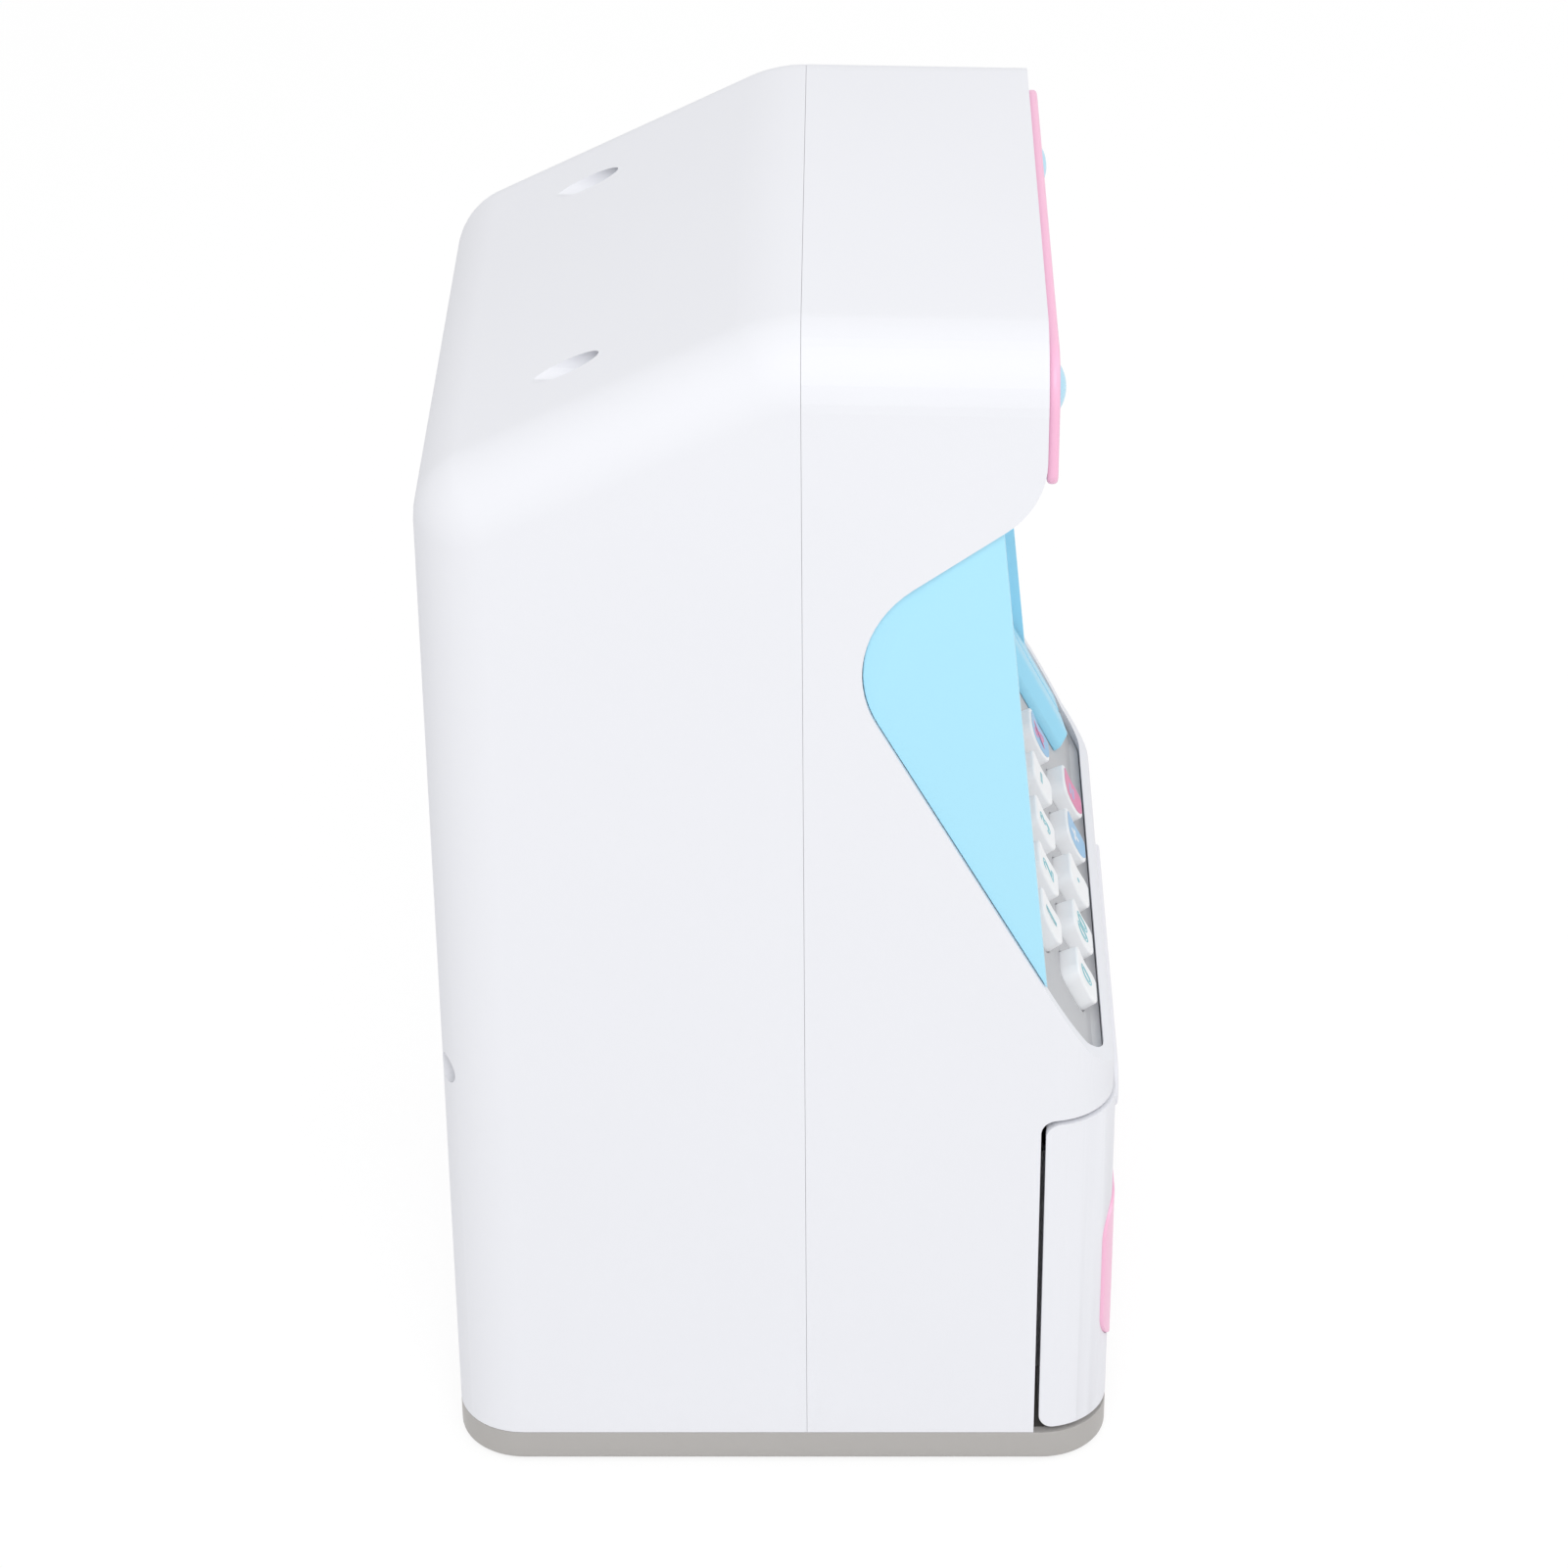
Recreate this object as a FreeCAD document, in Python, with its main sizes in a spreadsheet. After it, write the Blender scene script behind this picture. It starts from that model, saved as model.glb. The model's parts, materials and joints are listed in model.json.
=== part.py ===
"""A toy cash register: two white half shells on a grey tray, with a steep keyboard, a display block
that overhangs it, a card-swipe bar and a cash drawer.

Frame: millimetres, +Z up, the front faces -Y, the origin is the middle of the footprint on the table.
Slope frame (keyboard): x as the part, y up the slope, z out of the panel, origin on the panel's face.
"""
import FreeCAD, Part
import os
import re

import Sketcher

Vector = FreeCAD.Vector

doc = FreeCAD.newDocument("toy_cash_register")
dims = doc.addObject("Spreadsheet::Sheet", "dims")

DIMENSIONS = {
    # fits
    "fit": 0.05,
    "free_gap": 0.3,
    # housing
    "half_width": 69.5,
    "wall": 2.2,
    "rear_y": 66.75,
    "seam_y": -4.35,
    "seam_gap": 0.15,
    "top_z": 251.5,
    "slope_low_z": 220.0,
    "slope_angle": 25.95,
    "corner_round": 13.5,
    "rear_bend": 15.0,
    "top_bend": 26.0,
    "web_half": 1.0,
    # display block and its overhang
    "rim_y": -48.35,
    "rim_top_z": 250.7,
    "rim_corner_z": 219.2,
    "rim_round": 17.0,
    "rim_wall_low_z": 220.0,
    # side notch round the keyboard, and the lip under it
    "notch_y": -8.42,
    "notch_z": 190.93,
    "notch_round": 22.0,
    "notch_end_y": -59.0,
    "notch_end_z": 99.7,
    "lip_y": -64.8,
    "lip_z": 91.9,
    "lip_round": 4.0,
    "lip_foot_z": 84.7,
    # base tray and feet
    "base_z": 0.6,
    "base_floor": 2.2,
    "base_top_z": 7.4,
    "base_edge_round": 1.2,
    "base_boss_radius": 4.6,
    "base_hole": 1.6,
    "base_sink": 2.9,
    "base_sink_depth": 3.0,
    "foot_radius": 5.0,
    "foot_seat": 1.0,
    "foot_x": 50.0,
    "foot_front_y": -45.0,
    "foot_rear_y": 48.0,
    # drawer
    "front_y": -65.35,
    "drawer_low_z": 8.9,
    "drawer_top_z": 83.7,
    "drawer_back_y": -51.25,
    "opening_y": -50.25,
    "opening_round": 3.0,
    "grip_y": -66.75,
    "grip_half_width": 45.0,
    "grip_low_z": 69.0,
    "grip_top_z": 79.0,
    "grip_round": 4.9,
    "grip_edge": 0.6,
    "drawer_boss": 3.0,
    "drawer_bore": 1.15,
    "drawer_hole": 1.5,
    "drawer_screw_x": 40.0,
    "drawer_screw_low_z": 22.0,
    "drawer_screw_high_z": 56.0,
    "tray_half_width": 53.0,
    "tray_front_y": -58.1,
    "tray_rear_y": 48.0,
    "tray_low_z": 11.4,
    "tray_top_z": 66.0,
    "tray_wall": 2.0,
    "divider": 1.6,
    "divider_top_z": 48.0,
    "tongue_z": 38.0,
    "tongue_reach": 2.2,
    "tongue_height": 2.0,
    "tongue_start": 8.0,
    "rail_gap": 0.3,
    "rail_wall": 1.8,
    "rail_setback": 2.0,
    "rail_overrun": 6.0,
    "catch_y": 16.0,
    "catch_tail": 6.0,
    "catch_bend": 8.0,
    "catch_rise": 20.0,
    "catch_fall": 24.0,
    "catch_tip": 29.0,
    "catch_drop": 1.4,
    "catch_leaf": 0.6,
    "catch_width": 14.0,
    "peg_radius": 1.5,
    "pull_half_width": 63.0,
    "pull_low_z": 24.0,
    "pull_top_z": 59.0,
    "pull_round": 8.0,
    "pull_depth": 1.2,
    "pull_proud": 0.5,
    # keyboard, in the slope frame
    "panel_angle": 62.5,
    "panel_y": -54.4,
    "panel_z": 106.05,
    "panel_low": -18.6,
    "panel_top": 90.0,
    "panel_thick": 2.0,
    "panel_step": 7.1,
    "ledge_x": 64.2,
    "ledge_low": -8.6,
    "ledge_high": 4.1,
    "ledge_thick": 2.0,
    "key_tilt": 8.7,
    "row_lift": 1.64,
    "row_ledge": 0.8,
    "row_left": -64.8,
    "row_right": 37.0,
    "key_pitch_x": 17.35,
    "key_pitch_y": 15.54,
    "key_first_x": -45.75,
    "key_first_y": -1.18,
    "key_width": 14.5,
    "key_length": 13.7,
    "key_rise": 5.1,
    "key_dish": 0.9,
    "key_dish_radius": 24.0,
    "key_corner": 3.0,
    "key_gap": 0.3,
    "key_flange": 1.0,
    "key_flange_reach": 0.65,
    "key_shell": 1.6,
    "key_stem_reach": 2.5,
    "key_stem_thick": 1.4,
    "key_stem_end": -6.0,
    "key_travel": 2.0,
    "post_radius": 2.6,
    "post_bore": 1.15,
    "post_bore_depth": 7.0,
    "mat_left": -57.0,
    "mat_right": 36.5,
    "mat_low": -13.0,
    "mat_high": 59.0,
    "mat_thick": 1.5,
    "mat_dome": 0.5,
    "mat_dome_half": 3.0,
    "board_left": -64.0,
    "board_right": 43.5,
    "board_low": -14.0,
    "board_high": 60.0,
    "board_thick": 1.6,
    "board_hole": 1.4,
    # card bar, in the slope frame
    "reader_inner_x": 46.0,
    "reader_outer_x": 64.0,
    "reader_low": -7.8,
    "reader_top": 88.0,
    "reader_inner_rise": 1.0,
    "reader_outer_rise": 1.1,
    "reader_ridge_x": 49.5,
    "reader_ridge_rise": 2.6,
    "reader_ridge_round": 3.0,
    "reader_edge_round": 1.2,
    "groove_x": 57.0,
    "groove_width": 1.4,
    "groove_floor": 0.65,
    "groove_inner_rise": 1.9,
    "groove_outer_rise": 1.75,
    # blue liner of the keyboard recess
    "liner_thick": 2.0,
    "liner_gap": 0.1,
    "liner_behind": 4.0,
    "cheek_recess": 1.0,
    "cheek_top_y": -40.65,
    "cheek_top_z": 213.8,
    "cheek_low_y": -50.65,
    "cheek_low_z": 114.9,
    "ceiling_inset": 2.3,
    "ceiling_drop": 7.4,
    # display
    "bezel_half_width": 66.0,
    "bezel_low_z": 221.0,
    "bezel_top_z": 246.0,
    "bezel_thick": 2.05,
    "bezel_corner": 9.0,
    "window_half_width": 30.0,
    "window_low_z": 226.5,
    "window_top_z": 240.5,
    "window_rim": 1.5,
    "window_setback": 0.4,
    "lcd_half_width": 33.0,
    "lcd_low_z": 225.5,
    "lcd_top_z": 242.0,
    "lcd_depth": 4.0,
    "display_board_half": 61.0,
    "display_board_low_z": 225.0,
    "display_board_top_z": 244.5,
    "display_setback": 4.25,
    "display_post_x": 57.0,
    "display_post_z": 241.0,
    "display_post_radius": 2.4,
    "display_post_bore": 1.0,
    "display_bore_depth": 5.2,
    "display_board_hole": 1.3,
    "dome_x": 49.5,
    "dome_z": 233.5,
    "dome_radius": 4.4,
    "dome_proud": 1.5,
    "dome_gap": 0.35,
    "dome_ear_half": 3.5,
    "dome_ear_reach": 6.2,
    "dome_ear_thick": 1.0,
    "dome_stem_radius": 2.2,
    "dome_stem_length": 2.9,
    # battery box, speaker and switch on the rear wall
    "box_back_y": 44.5,
    "box_wall": 1.6,
    "box_rim": 0.7,
    "door_half_width": 31.3,
    "door_low_z": 103.3,
    "door_top_z": 161.0,
    "door_gap": 0.3,
    "door_thick": 2.1,
    "door_screw_drop": 4.5,
    "door_boss": 2.8,
    "door_bore": 1.15,
    "door_bore_depth": 12.0,
    "door_hole": 1.5,
    "door_sink": 2.7,
    "door_sink_depth": 1.1,
    "door_grip_half": 9.0,
    "door_grip_low": 5.0,
    "door_grip_pitch": 2.4,
    "door_grip_width": 1.2,
    "door_grip_depth": 0.6,
    "cell_radius": 7.1,
    "cell_length": 49.5,
    "cell_pitch": 15.5,
    "cell_gap": 0.6,
    "cell_back_gap": 0.4,
    "nub_radius": 2.7,
    "nub_length": 1.0,
    "contact_width": 6.0,
    "contact_reach": 5.5,
    "contact_foot": 1.2,
    "contact_crest": 1.0,
    "contact_thick": 0.8,
    "contact_gap": 0.1,
    "contact_wall_gap": 0.3,
    "speaker_z": 186.0,
    "speaker_radius": 18.0,
    "speaker_rim": 2.2,
    "basket_radius": 14.5,
    "basket_end": 7.0,
    "magnet_radius": 9.0,
    "magnet_end": 11.8,
    "ring_depth": 4.0,
    "ring_gap": 0.3,
    "ring_wall": 1.5,
    "grille_half_width": 13.0,
    "grille_taper": 2.5,
    "grille_pitch": 4.5,
    "grille_slot": 2.0,
    "switch_z": 88.0,
    "switch_travel": 4.0,
    "switch_half_width": 10.0,
    "switch_half_height": 5.0,
    "switch_front": 2.0,
    "switch_back": 8.0,
    "switch_room": 11.5,
    "ear_end": 17.0,
    "ear_half_height": 4.0,
    "ear_depth": 3.5,
    "slot_half_width": 6.0,
    "slot_half_height": 2.6,
    "slider_half_width": 8.6,
    "slider_half_height": 4.0,
    "slider_front": 0.3,
    "slider_back": 1.7,
    "knob_half_width": 2.5,
    "knob_half_height": 2.2,
    "knob_setback": 0.2,
    # screw places and their bosses
    "upper_screw_x": 41.5,
    "upper_screw_z": 233.5,
    "lower_screw_x": 61.5,
    "lower_screw_z": 92.0,
    "recess_radius": 3.0,
    "tube_wall": 1.4,
    "seat_y": 0.65,
    "shell_hole": 1.7,
    "boss_radius": 3.6,
    "boss_length": 18.0,
    "shell_bore": 1.45,
    "shell_bore_depth": 15.0,
    "base_screw_x": 63.5,
    "base_screw_front_y": -38.0,
    "base_screw_rear_y": 44.0,
    "foot_boss_radius": 3.2,
    "foot_boss_height": 14.0,
    "foot_bore": 1.25,
    "foot_bore_depth": 12.0,
}

for row, (alias, number) in enumerate(DIMENSIONS.items(), start=1):
    dims.set("A%d" % row, alias)
    dims.set("B%d" % row, str(number))
    dims.setAlias("B%d" % row, alias)
doc.recompute()

ALIAS_WORD = re.compile(r"\b(" + "|".join(sorted(DIMENSIONS, key=len, reverse=True)) + r")\b")


def cell(text):
    """The expression for a size: every alias in the text becomes a reference to its sheet cell."""
    return ALIAS_WORD.sub(r"dims.\1", text)


def value(size):
    """The number that a size stands for, be it a number already or a text of sheet aliases."""
    if isinstance(size, str):
        return float(dims.evalExpression(cell(size)))
    return float(size)


def bind(thing, name, size):
    """Set a property, as a live expression where the size is a text of sheet aliases."""
    if isinstance(size, str):
        thing.setExpression(name, cell(size))
    else:
        setattr(thing, name, size)


# Bodies, sketches and features


def new_body(name):
    return doc.addObject("PartDesign::Body", name)


def origin_feature(body, role):
    """One of the body's own origin planes or axes."""
    return [feature for feature in body.Origin.OriginFeatures if feature.Role == role][0]


def new_sketch(body, role, lift=0.0):
    """A sketch on one of the body's own origin planes, lifted along that plane's normal."""
    sketch = body.newObject("Sketcher::SketchObject", body.Name + "_sketch")
    sketch.AttachmentSupport = (origin_feature(body, role), [""])
    sketch.MapMode = "FlatFace"
    if isinstance(lift, str):
        sketch.setExpression("AttachmentOffset.Base.z", cell(lift))
    sketch.AttachmentOffset = FreeCAD.Placement(Vector(0, 0, value(lift)), FreeCAD.Rotation())
    return sketch


def fix_point(sketch, geometry, position, name, at):
    """Tie one point of the sketch to its two coordinates."""
    for kind, mark, size in (("DistanceX", "u", at[0]), ("DistanceY", "v", at[1])):
        constraint = Sketcher.Constraint(kind, -1, 1, geometry, position, value(size))
        number = sketch.addConstraint(constraint)
        sketch.renameConstraint(number, "%s_%s" % (name, mark))
        if isinstance(size, str):
            sketch.setExpression("Constraints.%s_%s" % (name, mark), cell(size))


def add_outline(sketch, points):
    """A closed outline of straight runs, each corner tied to its coordinates."""
    first = sketch.GeometryCount
    count = len(points)
    spots = [Vector(value(u), value(v), 0) for u, v in points]
    for index in range(count):
        sketch.addGeometry(Part.LineSegment(spots[index], spots[(index + 1) % count]))
    for index in range(count):
        after = first + (index + 1) % count
        sketch.addConstraint(Sketcher.Constraint("Coincident", first + index, 2, after, 1))
    for index, point in enumerate(points):
        fix_point(sketch, first + index, 1, "p%d" % (first + index), point)


def add_rectangle(sketch, low, high):
    add_outline(sketch, [low, (high[0], low[1]), high, (low[0], high[1])])


def add_cross(sketch, narrow, wide):
    """An upright cross about the sketch's origin, given by half its thickness and half its span."""
    quarter = [(narrow, wide), (narrow, narrow), (wide, narrow)]
    points = quarter + [(u, "-(%s)" % v) for u, v in reversed(quarter)]
    points += [("-(%s)" % u, "-(%s)" % v) for u, v in quarter]
    points += [("-(%s)" % u, v) for u, v in reversed(quarter)]
    add_outline(sketch, points)


def add_circle(sketch, centre, radius):
    spot = Vector(value(centre[0]), value(centre[1]), 0)
    number = sketch.addGeometry(Part.Circle(spot, Vector(0, 0, 1), value(radius)))
    fix_point(sketch, number, 3, "c%d" % number, centre)
    constraint = sketch.addConstraint(Sketcher.Constraint("Radius", number, value(radius)))
    sketch.renameConstraint(constraint, "r%d" % number)
    if isinstance(radius, str):
        sketch.setExpression("Constraints.r%d" % number, cell(radius))


def extrude(body, kind, sketch, length, side="One side", reverse=False):
    feature = body.newObject("PartDesign::" + kind, body.Name + "_" + kind.lower())
    feature.Profile = sketch
    feature.SideType = side
    feature.Reversed = reverse
    bind(feature, "Length", length)
    doc.recompute()
    return feature


def pad(body, sketch, length, side="One side", reverse=False):
    return extrude(body, "Pad", sketch, length, side, reverse)


def pocket(body, sketch, length, side="One side", reverse=False):
    """Cut the sketch's outline out of the body; a pocket that takes nothing away is an error."""
    before = body.Shape.Volume
    feature = extrude(body, "Pocket", sketch, length, side, reverse)
    assert body.Shape.Volume < before - 1e-6, feature.Name
    return feature


def round_edges(body, chosen, radius):
    """Round the edges of the body's last feature that the test picks out."""
    base = body.Tip
    names = ["Edge%d" % (index + 1) for index, edge in enumerate(base.Shape.Edges) if chosen(edge)]
    assert names, body.Name
    feature = body.newObject("PartDesign::Fillet", body.Name + "_round")
    feature.Base = (base, names)
    bind(feature, "Radius", radius)
    doc.recompute()
    return feature


def middle(edge):
    return edge.valueAt((edge.FirstParameter + edge.LastParameter) / 2)


def runs_along(edge, axis):
    """True for a straight edge that lies along the axis."""
    if not isinstance(edge.Curve, (Part.Line, Part.LineSegment)):
        return False
    return abs(edge.tangentAt(edge.FirstParameter).dot(axis)) > 0.9999


def near(number, size, slack=0.01):
    return abs(number - value(size)) < slack


X_AXIS = Vector(1, 0, 0)
Y_AXIS = Vector(0, 1, 0)
Z_AXIS = Vector(0, 0, 1)


# Primitives and booleans


def place(thing, at):
    """Put a primitive's base point where three sizes say."""
    thing.Placement.Base = Vector(*[value(size) for size in at])
    for axis, size in zip("xyz", at):
        if isinstance(size, str):
            thing.setExpression("Placement.Base." + axis, cell(size))


def box(name, low, high):
    thing = doc.addObject("Part::Box", name)
    for edge, start, end in zip(("Length", "Width", "Height"), low, high):
        thing.setExpression(edge, cell("(%s) - (%s)" % (end, start)))
    place(thing, low)
    return thing


TURNS = {
    "+x": FreeCAD.Rotation(Y_AXIS, 90),
    "-x": FreeCAD.Rotation(Y_AXIS, -90),
    "+y": FreeCAD.Rotation(X_AXIS, -90),
    "-y": FreeCAD.Rotation(X_AXIS, 90),
    "+z": FreeCAD.Rotation(),
    "-z": FreeCAD.Rotation(X_AXIS, 180),
}


def rod(name, start, heading, radius, length):
    thing = doc.addObject("Part::Cylinder", name)
    bind(thing, "Radius", radius)
    bind(thing, "Height", length)
    thing.Placement = FreeCAD.Placement(Vector(), TURNS[heading])
    place(thing, start)
    return thing


def fuse(name, pieces):
    thing = doc.addObject("Part::MultiFuse", name)
    thing.Shapes = pieces
    return thing


def common(name, first, second):
    thing = doc.addObject("Part::Common", name)
    thing.Base = first
    thing.Tool = second
    return thing


def cut(name, base, tools):
    thing = doc.addObject("Part::Cut", name)
    thing.Base = base
    thing.Tool = tools[0] if len(tools) == 1 else fuse(name + "_tools", tools)
    return thing


def group(name, pieces):
    """Separate solids that share one node."""
    thing = doc.addObject("Part::Compound", name)
    thing.Links = pieces
    return thing


def mirrored(name, source):
    """The same piece on the other side of the middle plane."""
    thing = doc.addObject("Part::Mirroring", name)
    thing.Source = source
    thing.Normal = X_AXIS
    return thing


PARTS = {}


def hand_in(name, thing):
    """Give the finished piece the label that names its file."""
    thing.Label = name
    PARTS[name] = thing
    return thing


def both(sizes):
    """A place and its mirror image: the first size is the distance from the middle plane."""
    across = sizes[0]
    return [("left", ("-(%s)" % across,) + tuple(sizes[1:])), ("right", tuple(sizes))]


# Housing envelopes, solid, from which the shells are cut


def plan_prism(name, inset, low_z, high_z, front_y, rear_y, rear_corners=True):
    """The housing's plan, a rectangle with rounded corners, drawn in by the inset."""
    body = new_body(name)
    sketch = new_sketch(body, "XY_Plane", low_z)
    side = "half_width - (%s)" % inset
    add_rectangle(sketch, ("-(%s)" % side, front_y), (side, rear_y))
    pad(body, sketch, "(%s) - (%s)" % (high_z, low_z))
    front = value(front_y)

    def corner(edge):
        return runs_along(edge, Z_AXIS) and (rear_corners or near(middle(edge).y, front))

    round_edges(body, corner, "corner_round - (%s)" % inset)
    return body


def rear_envelope(name, inset, seam, low_z):
    """The rear half: upright back, then a slope up to the flat top."""
    body = new_body(name)
    sketch = new_sketch(body, "YZ_Plane")
    back = "rear_y - %s" % inset
    top = "top_z - %s" % inset
    bend_z = "slope_low_z + %s * tan(slope_angle) - %s / cos(slope_angle)" % (inset, inset)
    rise = "top_z - slope_low_z - %s + %s / cos(slope_angle)" % (inset, inset)
    bend_y = "rear_y - (%s) / tan(slope_angle)" % rise
    add_outline(sketch, [(seam, low_z), (back, low_z), (back, bend_z), (bend_y, top), (seam, top)])
    pad(body, sketch, "2 * (half_width - %s)" % inset, "Symmetric")

    def low_bend(edge):
        return runs_along(edge, X_AXIS) and near(middle(edge).z, bend_z)

    def high_bend(edge):
        spot = middle(edge)
        return runs_along(edge, X_AXIS) and near(spot.z, top) and near(spot.y, bend_y)

    round_edges(body, low_bend, "rear_bend - %s" % inset)
    round_edges(body, high_bend, "top_bend - %s" % inset)

    def side_edge(edge):
        spot = middle(edge)
        on_side = near(abs(spot.x), "half_width - %s" % inset)
        return on_side and not near(spot.y, seam) and not near(spot.z, low_z)

    round_edges(body, side_edge, "corner_round - %s" % inset)
    return body


def front_profile_prism():
    """The front half seen from the side: overhang, notch, lip and the step for the drawer."""
    body = new_body("front_outer_side")
    sketch = new_sketch(body, "YZ_Plane")
    low_z = "base_top_z + seam_gap"
    add_outline(sketch, [
        ("seam_y", low_z),
        ("seam_y", "top_z"),
        ("rim_y", "rim_top_z"),
        ("rim_y", "rim_corner_z"),
        ("notch_y", "notch_z"),
        ("notch_end_y", "notch_end_z"),
        ("lip_y", "lip_z"),
        ("lip_y", "lip_foot_z"),
        ("opening_y", "lip_foot_z"),
        ("opening_y", low_z),
    ])
    pad(body, sketch, "2 * half_width", "Symmetric")

    def at(y, z):
        def chosen(edge):
            spot = middle(edge)
            return runs_along(edge, X_AXIS) and near(spot.y, y) and near(spot.z, z)
        return chosen

    round_edges(body, at("rim_y", "rim_corner_z"), "rim_round")
    round_edges(body, at("notch_y", "notch_z"), "notch_round")
    round_edges(body, at("lip_y", "lip_z"), "lip_round")
    round_edges(body, at("opening_y", "lip_foot_z"), "opening_round")

    def top_edge(edge):
        spot = middle(edge)
        return near(abs(spot.x), "half_width") and spot.z > value("rim_top_z") - 0.1

    round_edges(body, top_edge, "corner_round")
    return body


def front_cavity_prism():
    """The hollow of the front half, open at the seam, the bottom and the keyboard."""
    body = new_body("front_inner_side")
    sketch = new_sketch(body, "YZ_Plane")
    past_seam = "seam_y + 5"
    add_outline(sketch, [
        (past_seam, 0.0),
        (past_seam, "top_z - wall"),
        ("rim_y + wall", "rim_top_z - wall"),
        ("rim_y + wall", "rim_wall_low_z"),
        ("lip_y + wall", "rim_wall_low_z"),
        ("lip_y + wall", 0.0),
    ])
    pad(body, sketch, "2 * (half_width - wall)", "Symmetric")

    def top_edge(edge):
        spot = middle(edge)
        return near(abs(spot.x), "half_width - wall") and spot.z > value("rim_top_z - wall") - 0.1

    round_edges(body, top_edge, "corner_round - wall")
    return body


# Slope frame of the keyboard

SLOPE_TURN = FreeCAD.Rotation(X_AXIS, value("panel_angle"))
SLOPE = FreeCAD.Placement(Vector(0, value("panel_y"), value("panel_z")), SLOPE_TURN)


def lay_on_slope(thing, x=0.0, y=0.0):
    """Stand a piece that was drawn in the slope frame on the keyboard slope."""
    thing.Placement = FreeCAD.Placement(SLOPE.multVec(Vector(value(x), value(y), 0)), SLOPE_TURN)
    return thing


# Front shell


def foot_bosses(end):
    """The bosses by which a shell is screwed to the base tray, webbed to the side walls, and their bores."""
    foot_z = "base_top_z + seam_gap"
    at_y = "base_screw_%s_y" % end
    bosses = []
    bores = []
    for side, at in both(("base_screw_x", at_y, foot_z)):
        name = "%s_%s_foot" % (side, end)
        bosses.append(rod(name + "_boss", at, "+z", "foot_boss_radius", "foot_boss_height"))
        bores.append(rod(name + "_bore", (at[0], at_y, "base_top_z"), "+z", "foot_bore", "foot_bore_depth"))
    web = box(
        "right_%s_foot_web" % end,
        ("base_screw_x", at_y + " - web_half", foot_z),
        ("half_width - wall / 2", at_y + " + web_half", foot_z + " + foot_boss_height"))
    return bosses + [web, mirrored("left_%s_foot_web" % end, web)], bores


def make_front_shell():
    outer_plan = plan_prism("front_outer_plan", "0", "0", "top_z + 1", "lip_y", "seam_y", False)
    outer = common("front_outer", front_profile_prism(), outer_plan)
    inner_plan = plan_prism(
        "front_inner_plan", "wall", "-1", "top_z + 1", "lip_y + wall", "seam_y + 6", False)
    inner = common("front_inner", front_cavity_prism(), inner_plan)
    shell = cut("front_skin", outer, [inner])

    added, holes = foot_bosses("front")
    for level, length in (("upper", "seam_y - rim_y - wall / 2"), ("lower", "boss_length")):
        for side, at in both((level + "_screw_x", "seam_y", level + "_screw_z")):
            name = "%s_%s" % (side, level)
            added.append(rod(name + "_boss", at, "-y", "boss_radius", length))
            mouth = (at[0], "seam_y + 1", at[2])
            holes.append(rod(name + "_bore", mouth, "-y", "shell_bore", "shell_bore_depth + 1"))
    web = box(
        "right_lower_web",
        ("lower_screw_x", "seam_y - boss_length", "lower_screw_z - web_half"),
        ("half_width - wall / 2", "seam_y", "lower_screw_z + web_half"))
    added += [web, mirrored("left_lower_web", web)]

    # Ledges inside the side walls, under the lower end of the keyboard panel.
    ledge = new_body("right_ledge_body")
    sketch = new_sketch(ledge, "XY_Plane", "-panel_thick - fit - ledge_thick")
    add_rectangle(sketch, ("ledge_x", "ledge_low"), ("half_width - wall / 2", "ledge_high"))
    pad(ledge, sketch, "ledge_thick")
    lay_on_slope(ledge)
    right_ledge = common("right_ledge", ledge, outer)
    added += [right_ledge, mirrored("left_ledge", right_ledge)]

    # Short posts behind the display rim, for the display's circuit board.
    for side, at in both(("display_post_x", "rim_y + wall / 2", "display_post_z")):
        name = side + "_display_post"
        added.append(rod(name, at, "+y", "display_post_radius", "wall / 2 + display_setback - fit"))
        mouth = (at[0], "rim_y + wall + display_setback", at[2])
        holes.append(rod(name + "_bore", mouth, "-y", "display_post_bore", "display_bore_depth"))

    # Openings in the display rim, for the liquid-crystal cell and the two dome buttons.
    holes.append(box(
        "rim_window",
        ("-window_half_width + window_rim", "rim_y - 1", "window_low_z + window_rim"),
        ("window_half_width - window_rim", "rim_y + wall + 0.5", "window_top_z - window_rim")))
    for side, at in both(("dome_x", "rim_y - 1", "dome_z")):
        holes.append(rod(side + "_rim_hole", at, "+y", "dome_radius + dome_gap", "wall + 1.5"))

    whole = fuse("front_whole", [shell] + added)
    return hand_in("front_shell", cut("front_shell", whole, holes))


# Rear shell


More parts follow.
